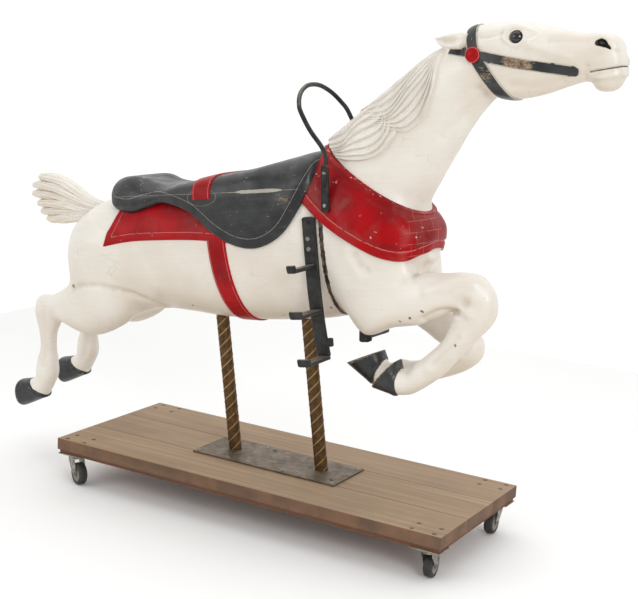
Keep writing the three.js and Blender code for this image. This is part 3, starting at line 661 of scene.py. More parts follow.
def horse_field(axes):
    """The distance to the whole carving without ears, hooves, mane and tail."""
    field = np.full([len(a) for a in axes], FAR, np.float32)
    join_limb(field, axes, TRUNK, 1, power=2.15)
    join_limb(field, axes, NECK, 60, waist=0.12)
    join_limb(field, axes, HEAD, 26, power=2.25, waist=-0.12)
    for rows, blend in ((FORE_RIGHT, 46), (FORE_LEFT, 46), (HIND_RIGHT, 56), (HIND_LEFT, 56)):
        join_limb(field, axes, rows, blend)
    for ball in BALLS:
        join_ball(field, axes, *ball)
    for ball in CUTS:
        join_ball(field, axes, *ball, cut=True)
    return field


def axes_between(low, high, step):
    return [np.arange(lo, hi + step, step) for lo, hi in zip(low, high)]


BODY_AXES = axes_between((-992, -186, 168), (946, 186, 1322), 6.2)
HEAD_AXES = axes_between((776, -92, 1036), (1266, 92, 1322), 2.3)
body_field, head_field = horse_field(BODY_AXES), horse_field(HEAD_AXES)
print("field samples:", body_field.size, "and", head_field.size)

# %% Cut at the joint, and polygonise
def block(field, axes, side):
    """One block's skin: the field cut off a lap past the joint, netted and settled."""
    u, w = np.meshgrid(axes[0], axes[2], indexing="ij")
    off = side * joint_side(u, w)[:, None, :] - LAP
    cut = np.maximum(field, off.astype(np.float32))
    points, quads = surface_net(cut, axes)
    return settle(points, quads, cut, axes), quads


body_points, body_quads = block(body_field, BODY_AXES, 1)
head_points, head_quads = block(head_field, HEAD_AXES, -1)
print("body:", 2 * len(body_quads), "triangles, head:", 2 * len(head_quads))

# %% [markdown]
# ## Carving strokes
#
# The finer modelling is laid on as strokes: a line in the side view, a width and a
# height. Each raises or sinks the skin along its normal by height x exp(-(d / width)^2),
# where d is the distance to the line. Wide strokes are muscles, narrow ones are veins,
# tendons and creases.

# %% Strokes
MOUTH = [(1140, 1126), (1152, 1127), (1203, 1130), (1252, 1134), (1275, 1136)]
STROKES = [  # line, width and height in mm
    ([(437, 668), (452, 645), (474, 626)], 15, -7),  # shoulder hollow
    ([(410, 690), (425, 650), (450, 610)], 22, 4),
    ([(600, 650), (610, 606)], 12, -8),  # breast crease
    ([(660, 556), (700, 568), (754, 580), (800, 574)], 17, 9),  # forearm muscle
    ([(638, 474), (694, 496), (744, 494)], 10, -10),  # forearm groove
    ([(650, 460), (700, 480), (740, 478)], 9, 6),
    ([(777, 522)], 16, -11),  # knee dimple
    ([(784, 490)], 15, 8),
    ([(760, 548), (800, 540)], 14, 3),
    ([(655, 345), (700, 382), (740, 420)], 8, -6),  # cannon tendon
    ([(640, 334)], 20, 7),  # fetlock
    ([(-651, 590), (-600, 604), (-540, 603), (-470, 585), (-418, 560), (-345, 512)], 11, -7),
    ([(-318, 540)], 34, -7),  # flank hollow
    ([(-560, 540), (-620, 500)], 50, 7),  # thigh
    ([(-720, 520), (-770, 515)], 20, -4),  # gaskin
    ([(-812, 540), (-812, 470), (-822, 380), (-838, 320)], 8, -4),  # hock to cannon
    ([(-838, 510)], 16, 4),
    ([(832, 1096), (822, 1110)], 15, -10),  # throat
    ([(835, 1080), (790, 1052), (750, 1028), (705, 990)], 16, -6),  # neck groove
    ([(921, 1232), (912, 1246), (918, 1262), (941, 1273), (971, 1264), (1008, 1243)], 5, 3.5),
    ([(925, 1236), (922, 1250), (940, 1263), (966, 1256)], 3, -2.5),  # lid fold
    ([(930, 1226), (950, 1217), (972, 1226), (1000, 1236)], 4, 1.8),  # lower lid
    ([(905, 1258), (870, 1252), (840, 1254)], 9, -6),  # temple
    ([(980, 1218), (1040, 1190), (1090, 1170)], 13, 5),  # cheek bone
    ([(1040, 1222), (1120, 1210), (1160, 1214)], 12, -4),
    ([(1168, 1214), (1190, 1217), (1210, 1200), (1216, 1182)], 6, 3),  # nostril's rim
    (MOUTH, 3, -4.5),
    ([(1140, 1112), (1180, 1108), (1222, 1112)], 7, 3),  # lower lip
    ([(1135, 1140), (1124, 1122)], 9, -3),  # mouth corner
    ([(930, 1110), (990, 1100), (1060, 1108)], 16, -5),  # jaw line
]


def distance_to(u, w, line):
    """Distance in the side view to a broken line, or to the only point of a line."""
    line = np.asarray(line, float)
    nearest = np.full(len(u), 1e9)
    for a, b in zip(line[:max(len(line) - 1, 1)], line[min(len(line) - 1, 1):]):
        du, dw = b - a
        t = np.clip(((u - a[0]) * du + (w - a[1]) * dw) / max(du * du + dw * dw, 1e-9), 0, 1)
        nearest = np.minimum(nearest, np.hypot(u - a[0] - t * du, w - a[1] - t * dw))
    return nearest


def carve(points, quads):
    """The skin moved along its normals by all the strokes."""
    normal = normals_of(points, quads)
    u, y, w = points.T
    lift = np.zeros(len(points))
    for line, width, height in STROKES:
        low, high = np.min(line, axis=0) - 3 * width, np.max(line, axis=0) + 3 * width
        here = np.flatnonzero((u > low[0]) & (u < high[0]) & (w > low[1]) & (w < high[1]))
        flank = np.clip(np.abs(y[here]) / 14, 0, 1)
        fine = curve(line, 8) if len(line) > 1 else line
        far = distance_to(u[here], w[here], fine)
        lift[here] += height * flank * np.exp(-(far / width) ** 2)
    return points + normal * lift[:, None]


body_points, head_points = carve(body_points, body_quads), carve(head_points, head_quads)

# %% [markdown]
# ## Straps and cloths on the skin
#
# The trappings are carved from the horse's own wood and stand a few millimetres proud.
# Each is a grid of rays that start inside the horse and stop where the field reaches the
# trapping's thickness, so a strap follows every hollow under it. Wrapping a flat strap
# with a shrinkwrap modifier would do the same, but rays need no clean-up.

# %% Rays onto the skin
def reach(starts, directions, proud, field, axes, far=260.0):
    """Where rays from inside reach the given height above the skin, found by halving."""
    low, high = np.zeros(starts.shape[:-1]), np.full(starts.shape[:-1], far)
    flat, aim = starts.reshape(-1, 3), directions.reshape(-1, 3)
    level = np.broadcast_to(proud, low.shape).ravel()
    low, high = low.ravel(), high.ravel()
    for _ in range(13):
        mid = (low + high) / 2
        inside = sample(field, axes, flat + aim * mid[:, None]) < level
        low, high = np.where(inside, mid, low), np.where(inside, high, mid)
    return (flat + aim * low[:, None]).reshape(starts.shape)


def rounded(across, wide, thick, sunk=3.0, edge=2.5):
    """A strap's height above the skin over its width: flat, with an edge that drops in a
    quarter oval to sunk below the skin. across runs from -1 to 1."""
    side = np.clip((np.abs(across) * wide / 2 - (wide / 2 - edge)) / edge, 0, 1)
    return (thick + sunk) * np.sqrt(1 - side ** 2) - sunk


def spaced(columns, wide, edge=2.5):
    """Places across a strap from -1 to 1, with three extra ones over each rounded edge."""
    lip = 1 - 2 * edge / wide * np.array([0.06, 0.35, 0.75])
    return np.concatenate([[-1], -lip, np.linspace(-lip[-1], lip[-1], columns)[1:-1], lip[::-1], [1]])


def hoop_strap(centre, up, wide, thick, turn, steps, field, axes, columns=13):
    """A strap that goes round from one side to the other in the plane of y and the side
    view's direction up: rays from the centre, at turn[0] to turn[1] degrees from up."""
    angle = np.radians(np.linspace(*turn, steps))[:, None]
    across = spaced(columns, wide)[None, :]
    up = unit(np.array(up, float))
    aside = np.array([-up[1], up[0]])
    start = np.zeros((steps, across.size, 3))
    start[..., 0] = centre[0] + aside[0] * across * wide / 2
    start[..., 2] = centre[1] + aside[1] * across * wide / 2
    aim = np.stack([up[0] * np.cos(angle) + 0 * across, np.sin(angle) + 0 * across,
                    up[1] * np.cos(angle) + 0 * across], -1)
    top = reach(start, aim, rounded(across, wide, thick), field, axes)
    return top, start + aim * (np.linalg.norm(top - start, axis=-1) - 12)[..., None]


def side_strap(line, wide, thick, side, steps, field, axes, columns=13, point=0.0):
    """A strap along a line in the side view, laid on one side by rays along y. A point
    above 0 rounds the last stretch of that length off."""
    line = np.asarray(line, float)
    path = pick(line, np.linspace(0, len(line) - 1, steps))
    ahead = unit(np.gradient(path, axis=0))
    left = np.linalg.norm(path - path[-1], axis=1)
    short = np.clip(left / point, 0, 1) if point else np.ones(steps)
    narrow = 0.25 + 0.75 * np.sqrt(1 - (1 - short) ** 2)
    across = spaced(columns, wide)[None, :]
    start = np.zeros((steps, across.size, 3))
    start[..., 0] = path[:, :1] - ahead[:, 1:] * across * (wide * narrow)[:, None] / 2
    start[..., 2] = path[:, 1:] + ahead[:, :1] * across * (wide * narrow)[:, None] / 2
    aim = np.zeros_like(start)
    aim[..., 1] = side
    fade = np.minimum(1, from_ends(steps))
    proud = rounded(across, wide, thick) * fade[:, None] - 3 * (1 - fade[:, None])
    top = reach(start, aim, proud, field, axes)
    return top, top - aim * 12


# %% [markdown]
# ## The saddle
#
# The saddle is a row of arched slices from the cantle to the pommel. Each has its crown
# height, its half width and the height of its lower edge, which draws the flap's outline
# in the side view. Its edge rolls under in a quarter circle, fat at the cantle's panel
# and thin at the flap.

# %% Saddle shape
SADDLE = [      # u, crown w, half width, lower edge w, roll radius
    [-484, 912, 104, 886, 9], [-472, 946, 124, 868, 16], [-430, 956, 138, 856, 22],
    [-380, 950, 144, 852, 24], [-330, 926, 140, 862, 21], [-270, 914, 140, 868, 12],
    [-200, 920, 150, 850, 6], [-134, 928, 160, 822, 5], [-60, 938, 166, 762, 5],
    [10, 943, 168, 722, 5], [78, 950, 168, 706, 5], [140, 960, 166, 716, 5],
    [200, 968, 162, 752, 5], [250, 976, 152, 816, 5], [290, 980, 130, 880, 5],
    [318, 984, 80, 930, 4],
]


def saddle_half(row, count):
    """One side of a slice, from the crown to the edge, as (y, w) evenly spaced along it:
    y = wide sin(t)^a and w = low + (crown - low) cos(t)^b. Over the seat a and b are small,
    so the top is flat and the side upright; at both ends they give a round arch. The
    cantle is dished and its rim raised."""
    u, crown, wide, low = row[:4]
    flat = np.clip((260 - abs(u + 40)) / 130, 0, 1)
    flat = flat * flat * (3 - 2 * flat)
    t = np.linspace(0, math.pi / 2, 400)
    y = wide * np.sin(t) ** (0.85 - 0.4 * flat)
    w = low + (crown - 6 * flat - low) * np.cos(t) ** (0.7 - 0.4 * flat)
    dish = math.exp(-((u + 400) / 52) ** 2)
    w += dish * (7 * np.exp(-((y - 106) / 22) ** 2) - 15 * np.exp(-(y / 62) ** 2))
    w += 5 * math.exp(-((u + 350) / 120) ** 2) * np.exp(-((y - 80) / 26) ** 2)
    run = np.concatenate([[0], np.cumsum(np.hypot(np.diff(y), np.diff(w)))])
    at = np.linspace(0, run[-1], count)
    return np.stack([np.interp(at, run, y), np.interp(at, run, w)], -1)


def saddle_grid(steps=16, half=72, roll=7):
    """All slices, each ending in a roll: a quarter circle inwards at the lower edge."""
    rows = curve(SADDLE, steps)
    sides = np.stack([saddle_half(row, half) for row in rows])
    turn = np.linspace(0, 1, roll + 1)[None, 1:] * math.pi / 2
    wide, low, radius = (rows[:, k, None] for k in (2, 3, 4))
    y = np.hstack([sides[..., 0], wide - radius * (1 - np.cos(turn))])
    w = np.hstack([sides[..., 1], low - radius * np.sin(turn)])
    slices = np.stack([np.broadcast_to(rows[:, :1], y.shape), y, w], -1)
    return np.concatenate([slices[:, 1:][:, ::-1] * [1, -1, 1], slices], 1)


saddle_points, saddle_faces = closed(saddle_grid())
saddle_edge = curve([[r[0], r[3]] for r in SADDLE], 12)


def to_edge(points, line):
    """Distance in the side view from points (n, 3) to a line (m, 2)."""
    return distance_to(points[:, 0], points[:, 2], line)


# %% [markdown]
# ## Blanket, girth and breast collar
#
# The blanket is laid by rays that fan out from the spine's line, from its lower edge on
# the right, over the back, to the left. The girth is one strap right round the trunk.
# The breast collar is fatter, so it is a loft of its own: slanted slices round the
# chest, with a rolled upper edge and a flat welt along the lower one. It is then pushed
# out over the chest as a stretched skin would lie, so that no muscle pokes through.

# %% Cloth shapes
BLANKET_REAR = [(-436, 900), (-493, 726)]
BLANKET_FOOT = [[-493, 726], [-380, 738], [-186, 735], [-80, 728], [20, 716]]
GIRTH = {"top": (-56, 820), "foot": (-20, 400), "wide": 68}
COLLAR = [      # the front and the rear end in the middle plane, half the width, the sides' sag
    [622, 668, 230, 900, 148, 75], [638, 698, 262, 915, 152, 68], [642, 722, 285, 928, 152, 58],
    [637, 744, 305, 945, 146, 46], [620, 768, 320, 966, 130, 22], [596, 787, 338, 978, 108, 6],
]


def blanket_grid(rows=90, columns=150, thick=6.0):
    """Rays from the middle plane, at the height of the lower edge, fanned from side to
    side. The rear edge leans: a ray's start moves forward as the ray rises."""
    foot = pick(BLANKET_FOOT, np.linspace(0, len(BLANKET_FOOT) - 1, rows))
    angle = np.linspace(-1, 1, columns)[None, :] * math.pi / 2
    lean = BLANKET_REAR[0][0] - BLANKET_REAR[1][0]
    share = np.linspace(1, 0, rows)[:, None]
    start = np.zeros((rows, columns, 3))
    start[..., 0] = foot[:, :1] + lean * share * np.cos(angle)
    start[..., 2] = foot[:, 1:]
    aim = np.stack([0 * angle + 0 * share, np.sin(angle) + 0 * share,
                    np.cos(angle) + 0 * share], -1)
    ends = np.minimum(np.arange(rows), 3) / 3
    sides = np.minimum(from_ends(columns), 2) / 2
    drop = 1 - np.sqrt(np.minimum.outer(ends, sides))
    top = reach(start, aim, thick - (thick + 3) * drop, body_field, BODY_AXES)
    return top, top - aim * 14


def collar_grid(steps=12, sides=200):
    """Slices with corners filled out, cos and sin to the power 1 / 1.2, their sides sagging
    by sag (y / half width)^2. A profile along the band's height adds the roll at the top
    and the groove above the lower welt."""
    rows = curve(COLLAR, steps)
    at = np.linspace(0, 1, len(rows))[:, None]
    c, s = squared(turns(sides)[None, :], 1 / 1.2)
    swell = (7.5 * np.exp(-((at - 0.93) / 0.06) ** 2) - 5.0 * np.exp(-((at - 0.80) / 0.05) ** 2)
             - 4.0 * np.exp(-((at - 0.15) / 0.022) ** 2) + 3.5 * np.exp(-((at - 0.5) / 0.3) ** 2))
    middle, half = halves(rows)
    long = np.linalg.norm(half, axis=1, keepdims=True)
    u = middle[:, :1] + half[:, :1] * (1 + swell / long) * c
    w = middle[:, 1:] + half[:, 1:] * (1 + swell / long) * c - rows[:, 5:6] * s ** 2
    y = (rows[:, 4:5] + swell) * s
    return np.stack([u, y, w], -1), at + 0 * c


def stretched(rings, gap=7.0):
    """The rings pushed out until they lie gap mm above the skin, as a stretched membrane
    does: each round takes the larger of the need and the neighbours' mean. The top rings'
    rear ends stay sunk in the crest of the neck."""
    outward = unit(rings - rings.mean(1, keepdims=True))
    bare = np.clip((np.abs(rings[..., 1]) - 20) / 40, 0, 1) + (rings[..., 2] < 900)
    push = np.zeros(rings.shape[:2])
    for _ in range(6):
        at = rings + outward * push[..., None]
        need = gap - sample(body_field, BODY_AXES, at.reshape(-1, 3)).reshape(push.shape)
        push = np.maximum(push, push + need * np.minimum(bare, 1))
    wanted = push.copy()
    for _ in range(160):
        mean = (np.roll(push, 1, 1) + np.roll(push, -1, 1)
                + np.concatenate([push[:1], push[:-1]]) + np.concatenate([push[1:], push[-1:]])) / 4
        push = np.maximum(wanted, mean)
    for _ in range(6):
        push = (np.roll(push, 1, 1) + np.roll(push, -1, 1) + 2 * push) / 4
    return rings + outward * push[..., None]


collar_rings, collar_height = collar_grid()
collar_rings = stretched(collar_rings)
print("saddle", saddle_points.shape, "collar", collar_rings.shape)

# %% [markdown]
# ## Paint
#
# The horse wears old oil paint: cream on the body, black on the saddle and hooves, red on
# the cloths. Each paint is its colour, a cloudy fading, dust and painted shade where a
# vertex attribute says that the carving is hollow, fine cracks, and chips down to the brown
# wood; the cream also has painted shade on surfaces that face down. Attributes carry the
# places that the carving decides, such as the distance from a cloth's rim.

# %% Cream paint
# lengths in m: the dark strip on the right flank in front of the foot iron's bar, its
# middle (u, w) and half sizes
STRIP = {"u": 0.329, "w": 0.59, "half_wide": 0.006, "half_long": 0.19}


def dark_strip_mask(tree, at):
    """1 in the dark strip on the right, in front of the foot iron's bar, its edges
    ragged by up to 10 mm."""
    u, y, w = add(tree, "SeparateXYZ", {0: swayed(tree, at, 60.0, (0.010, 0, 0.010))}).outputs
    return reckon(tree, near(tree, u, STRIP["u"], STRIP["half_wide"], 0.003), "*",
                  near(tree, w, STRIP["w"], STRIP["half_long"], 0.006), "*",
                  reckon(tree, y, "<", 0.0))


def cream_paint(grain=1.0, dirt=0.75, with_dark_strip=False):
    """Brushed oil paint, thick and a little glossy: cloudy cream, the wood's grain as fine
    lines along the horse, dust and painted shade in hollows, painted shade in warm patches
    on surfaces that face down, fine cracks and chipped specks."""
    def paint(tree):
        at = level(tree)
        lines = add(tree, "TexNoise", {"Vector": level(tree, (6, 30, 260)), "Scale": 1.0,
                                       "Detail": 3.0})
        # dust and painted shade in the carving's hollows, in patches, in a share set by dirt
        dust = reckon(tree, "hollow", "*", patches(tree, at, 40, 0.2, 0.7), "*", dirt)
        # painted shade: surfaces that face down are tinted a warm, darker beige, in patches
        under = reckon(tree, facing_up(tree, 0.2, -0.8), "*", patches(tree, at, 7, 0.1, 0.6),
                       "*", 0.55)
        cells = add(tree, "TexVoronoi", {"Vector": level(tree, (1, 1, 3)), "Scale": 12.0},
                    feature="DISTANCE_TO_EDGE")
        crack = reckon(tree, near(tree, cells, 0.0, 0.004, 0.006), "*",
                       patches(tree, at, 9, 0.58, 0.66))
        specks = patches(tree, at, 150, 0.74, 0.77, detail=2.0)
        ragged = add(tree, "TexNoise", {"Vector": at, "Scale": 190.0, "Detail": 3.0})
        chip = near(tree, reckon(tree, "chip", "+", ragged), 0.0, 0.5, 0.03)
        bare = coats(tree, "#6E4C33", (patches(tree, at, 300, 0.4, 0.6), "#A98A68"))
        dark = add(tree, "MapRange", {"Value": "dark", "From Min": 0.6, "From Max": -0.6})
        body = coats(tree, "#F0EBE2", (patches(tree, at, 5, 0.35, 0.65), "#E8E0D4"),
                     (reckon(tree, lines, "*", 0.22 * grain), "#B9AB97"), (dust, "#B3A28A"),
                     (under, "#CDBCA2"), (reckon(tree, crack, "*", 0.35 * grain), "#8A7C68"),
                     (reckon(tree, specks, "*", 0.7), "#8C6F52"), (chip, bare), (dark, "#1B1917"))
        if with_dark_strip:
            # a dark strip with browner flecks, in front of the foot iron's bar
            strip_tone = coats(tree, "#1D1814", (patches(tree, at, 45, 0.45, 0.6), "#6E5238"))
            body = coats(tree, body, (dark_strip_mask(tree, at), strip_tone))
        relief = reckon(tree, lines, "*", 0.35 * grain, "+", reckon(tree, crack, "*", -0.8),
                        "+", reckon(tree, chip, "*", -0.6))
        return {"Base Color": body, "Coat Weight": 0.25, "Coat Roughness": 0.22,
                "Roughness": add(tree, "MapRange", {"Value": patches(tree, at, 24, 0.3, 0.7),
                                                    "To Min": 0.34, "To Max": 0.52}),
                "Normal": add(tree, "Bump", {"Height": relief, "Distance": 0.0009,
                                             "Strength": 0.6})}
    return paint


CREAM = finish_of("cream_oil_paint", cream_paint(with_dark_strip=True))
# on the hair, dirt sets a smaller share of dust and painted shade in the grooves
HAIR = finish_of("cream_paint_on_hair", cream_paint(grain=0.3, dirt=0.3))

# %% [markdown]
# ## Black and red
#
# The saddle, bridle and cloths carry a pale line along their rim, which a carver tools
# and a painter picks out. The line follows the attribute rim, in mm from the edge, sways
# a little and is broken where it has worn. A second function may add marks that belong
# to one piece alone.

# %% Tooled lines and marks
# lengths in m, in the level frame, as (middle, half size, softness) for the function near
JOINT_W = 0.8785                    # the saddle's open joint
JOINT_RUN, FLAKE_RUN, FLAKE_SWELL = (-0.09, 0.34, 0.02), (0.1, 0.1, 0.01), (0.125, 0.05, 0.04)
SLOT_OVAL = ((-0.085, 0.056), (0.866, 0.026))       # its middle and half size in u and in w
CREASE_GAP, CANTLE_U, CANTLE_W = 0.055, (-0.32, 0.1, 0.02), (1.0, 0.075, 0.015)
OBLONG = (0.058, 0.033)             # the cracked fields on the collar's front, on the right
CHEST_U, CHEST_Y = (0.66, 0.06, 0.012), (-0.07, 0.08, 0.01)


def rim_line(tree, at, middle, wide, soft, wobble, sway, broken, marks):
    """A line at a middle of rim + noise * sway, broken by patches, and the marks."""
    noise = add(tree, "TexNoise", {"Vector": at, "Scale": wobble, "Detail": 2.0})
    rim = reckon(tree, noise, "*", sway, "+", "rim")
    line = reckon(tree, near(tree, rim, middle, wide / 2, soft), "*", patches(tree, at, *broken))
    return reckon(tree, line, "max", marks(tree, at)) if marks else line


def seat_marks(tree, at):
    """The saddle's joint, which has opened and chipped white in front of the strap, the
    tooled oval round the strap's slot, and creases that split the paint on the cantle."""
    u, _, w = add(tree, "SeparateXYZ", {0: at}).outputs
    ragged = add(tree, "TexNoise", {"Vector": level(tree, (50, 1, 160)), "Scale": 1.0,
                                    "Detail": 3.0})
    off = reckon(tree, u, "*", 0.02, "+", w, "+", reckon(tree, ragged, "*", 0.004))
    joint = reckon(tree, near(tree, off, JOINT_W, 0.0006, 0.0007), "*",
                   near(tree, u, *JOINT_RUN), "*", 0.6)
    high = reckon(tree, near(tree, u, *FLAKE_SWELL), "*", 0.0052, "+", 0.0004)
    flake = near(tree, reckon(tree, off, "-", JOINT_W, "/", high), 0.0, 0.8, 0.3)
    flake = reckon(tree, flake, "*", near(tree, u, *FLAKE_RUN), "*", 1.6)
    squares = [reckon(tree, along, "-", middle, "/", half, "^", 2.0)
               for along, (middle, half) in zip((u, w), SLOT_OVAL)]
    ring = reckon(tree, squares[0], "+", squares[1])
    oval = reckon(tree, near(tree, ring, 1.0, 0.03, 0.05), "*", 0.5)
    wave = reckon(tree, ragged, "*", 0.05, "+", u, "+", reckon(tree, w, "*", 0.5),
                  "mod", CREASE_GAP)
    crease = reckon(tree, near(tree, wave, 0.02, 0.0006, 0.0008), "*",
                    near(tree, u, *CANTLE_U), "*", near(tree, w, *CANTLE_W), "*",
                    patches(tree, at, 30, 0.42, 0.52))
    return reckon(tree, joint, "max", crease, "max", flake, "max", oval)


def chest_marks(tree, at):
    """Cracks that run as oblongs over the collar's front: a brick pattern in (u + y, w).
    White chips sit on the rolled edge, fewer on the face."""
    u, y, w = add(tree, "SeparateXYZ", {0: at}).outputs
    flat = add(tree, "CombineXYZ", {0: reckon(tree, u, "+", y), 1: w, 2: 0.0})
    oblongs = add(tree, "TexBrick", {
        "Vector": swayed(tree, at, 30.0, (0.008, 0.008, 0), flat), "Scale": 1.0,
        "Mortar Size": 0.0009, "Mortar Smooth": 0.3, "Brick Width": OBLONG[0],
        "Row Height": OBLONG[1]}).outputs["Fac"]
    cracks = reckon(tree, oblongs, "*", near(tree, u, *CHEST_U), "*", near(tree, y, *CHEST_Y),
                    "*", patches(tree, at, 26, 0.38, 0.5))
    roll = reckon(tree, near(tree, "rim", 150.0, 10.0, 8.0), "*",
                  patches(tree, at, 70, 0.6, 0.63))
    knocked = reckon(tree, near(tree, "rim", 70.0, 34.0, 10.0), "*",
                     patches(tree, at, 55, 0.7, 0.72))
    return reckon(tree, roll, "max", knocked, "*", 2.2, "max", cracks)


# %% Black and red paint
def black_paint(line_at, line_wide, scuff, line_strong=0.5, marks=None):
    """Brushed black oil paint with a dull sheen, greyed in clouds, streaked, and rubbed to
    brown wood by the share scuff. The line is line_wide mm broad, line_at mm in."""
    def paint(tree):
        at = level(tree)
        streaks = patches(tree, level(tree, (8, 30, 60)), 1.4, 0.5, 0.72)
        noise = add(tree, "TexNoise", {"Vector": level(tree, (40, 70, 110)), "Scale": 1.6,
                                       "Detail": 6.0})
        worn = add(tree, "MapRange", {"Value": reckon(tree, "worn", "*", 0.3, "+", noise),
                                      "From Min": 0.68, "From Max": 0.9})
        wood = coats(tree, "#A08A70", (patches(tree, at, 160, 0.4, 0.6), "#6B5743"))
        line = rim_line(tree, at, line_at + 1.0, line_wide, 0.5, 60.0, 2.0, (55, 0.34, 0.44), marks)
        flakes = patches(tree, at, 120, 0.7, 0.73)
        body = coats(tree, "#191A1B", (patches(tree, at, 14, 0.35, 0.7), "#2E2F30"),
                     (reckon(tree, streaks, "*", 0.15), "#5C5A57"),
                     (reckon(tree, worn, "*", scuff), wood),
                     (reckon(tree, line, "*", line_strong), "#B9B2A4"),
                     (reckon(tree, flakes, "*", 0.8), "#D8CFBE"))
        relief = reckon(tree, line, "*", -0.5, "+", reckon(tree, streaks, "*", 0.1))
        return {"Base Color": body, "Coat Weight": 0.1,
                "Roughness": add(tree, "MapRange", {"Value": patches(tree, at, 30, 0.3, 0.7),
                                                    "To Min": 0.32, "To Max": 0.5}),
                "Normal": add(tree, "Bump", {"Height": relief, "Distance": 0.001,
                                             "Strength": 0.6})}
    return paint


def red_paint(line_at, line_wide, faded, marks=None):
    """Brushed red oil paint, brighter outside the line, chipped white where worn; faded is
    the share of brownish, rubbed paint in the middle."""
    def paint(tree):
        at = level(tree)
        border = add(tree, "MapRange", {"Value": "rim", "From Min": line_at + 4,
                                        "From Max": line_at}, interpolation_type="SMOOTHSTEP")
        cloudy = patches(tree, at, 9, 0.35, 0.65)
        rubbed = reckon(tree, patches(tree, at, 12, 0.42, 0.62, twist=0.6), "*", faded)
        line = rim_line(tree, at, line_at + 1.5, line_wide, 0.6, 40.0, 3.0, (50, 0.32, 0.46), marks)
        chips = patches(tree, at, 75, 0.70, 0.72, detail=5.0)
        body = coats(tree, "#A8060E", (cloudy, "#840A10"), (rubbed, "#8C3A38"),
                     (reckon(tree, border, "*", 0.55), "#AC0911"),
                     (reckon(tree, line, "*", 0.42), "#DC9A92"),
                     (reckon(tree, chips, "*", "worn"), "#E9DACB"))
        relief = reckon(tree, line, "*", -0.5, "+", reckon(tree, chips, "*", -0.6))
        return {"Base Color": body, "Specular IOR Level": 0.14, "Coat Weight": 0.03,
                "Roughness": add(tree, "MapRange", {"Value": cloudy, "To Min": 0.3,
                                                    "To Max": 0.46}),
                "Normal": add(tree, "Bump", {"Height": relief, "Distance": 0.001,
                                             "Strength": 0.6})}
    return paint


SADDLE_BLACK = finish_of("worn_black_paint", black_paint(25.0, 1.1, 0.45, 0.5, seat_marks))
BRIDLE_BLACK = finish_of("black_strap_paint", black_paint(1.2, 3.2, 1.0, 1.0))
HOOF_BLACK = finish_of("black_hoof_paint", black_paint(-90.0, 1.0, 0.85))
BLANKET_RED = finish_of("red_blanket_paint", red_paint(26.0, 1.6, 0.3))
STRAP_RED = finish_of("red_strap_paint", red_paint(6.0, 1.6, 0.15))
COLLAR_RED = finish_of("red_collar_paint", red_paint(20.0, 1.3, 0.7, chest_marks))

# %% [markdown]
# ## The carved pieces
#
# The body and the head stand for the horse's solid. How hollow the carving is comes from
# the net itself: where the mean of a vertex's neighbours lies outside it, there is a
# hollow, and the cream paint lays dust and painted shade there.

# %% Body and head
CHIPS = [       # centre (u, w) and radius of the knocks that show brown wood, on the right
    (640, 500, 5), (560, 470, 4), (596, 480, 5), (668, 430, 3), (730, 399, 5), (667, 639, 7),
    (-650, 600, 7), (-210, 520, 4), (-560, 410, 3), (300, 505, 4), (120, 480, 3),
]


def hollowness(points, quads, gain):
    """How far the averaged neighbours lie outside, in mm, times a gain, from 0 to 1."""
    normal = normals_of(points, quads)
    smooth = points
    for _ in range(3):
        smooth = averaged(smooth, quads)
    bend = np.einsum("ij,ij->i", smooth - points, normal)
    for _ in range(2):
        bend = averaged(bend, quads)
    return np.clip(bend * gain, 0, 1)


def knocks(points):
    """The distance to the nearest knock's rim over its radius, less 0.5, far ones 2."""
    near_one = np.full(len(points), 2.0)
    for u, w, radius in CHIPS:
        far = np.hypot(points[:, 0] - u, points[:, 2] - w) / radius - 1.0
        near_one = np.where(points[:, 1] < 0, np.minimum(near_one, far), near_one)
    return near_one


NOSTRIL = [(1170, 1200), (1183, 1199), (1195, 1190), (1202, 1181)]


def dark_places(points):
    """How far outside the nostrils and the mouth's line, in mm: those are painted black."""
    comma = to_edge(points, curve(NOSTRIL, 6))
    comma = comma - np.interp(points[:, 0], [1168, 1181, 1195, 1204], [8, 11, 5, 1])
    comma = np.where(np.abs(points[:, 1]) > 24, comma, 9)
    return np.minimum(comma, to_edge(points, curve(MOUTH, 6)) - 1.6)


WOOD = "carved_wood"
on_horse("carved_body", (body_points, [body_quads]), CREAM, WOOD, ("horse",),
      hollow=hollowness(body_points, body_quads, 0.45), chip=knocks(body_points),
      dark=np.full(len(body_points), 9.0))
on_horse("carved_head", (head_points, [head_quads]), CREAM, WOOD, ("horse",),
      hollow=hollowness(head_points, head_quads, 1.6), chip=knocks(head_points),
      dark=dark_places(head_points))

# %% [markdown]
# ## Ears, eyes and hooves
#
# Ears and hooves are lofts of the same oval slices. A hoof starts inside the leg, swells
# to the coronet, runs straight to the sole's rim and turns in to a sole that is a little
# hollow.

# %% Lofts
EAR = [
    [804, 1266, 798, 1234, 12, -36], [789, 1272, 783, 1227, 18, -50],
    [772, 1274, 769, 1227, 21, -60], [754, 1272, 746, 1231, 18, -64],
    [730, 1270, 724, 1240, 11, -66], [714, 1267, 711, 1253, 5, -66], [706, 1265, 706, 1262, 2, -66],
]


def oval_rings(rows, sides, square=1.0):
    """Rings (rows, sides, 3): cos and sin to the power 1 / square over the two half sizes."""
    rows = np.asarray(rows, float)
    c, s = squared(turns(sides)[None, :], 1 / square)
    middle, half = halves(rows)
    return np.stack([middle[:, :1] + half[:, :1] * c, rows[:, 5:6] + rows[:, 4:5] * s,
                     middle[:, 1:] + half[:, 1:] * c], -1)


def ear(side):
    """The ear's loft with a cup pressed into its outer face: depth falls off as a bell
    across the ear and towards both ends."""
    rings = oval_rings(curve(EAR, 8), 40)
    at = np.linspace(0, 1, len(rings))[:, None]
    angle = turns(40)[None, :]
    cup = np.exp(-((angle - 1.5 * math.pi) / 0.55) ** 2) * np.exp(-((at - 0.5) / 0.28) ** 2)
    rings[..., 1] += 15 * cup
    rings[..., 1] *= -side
    return rings


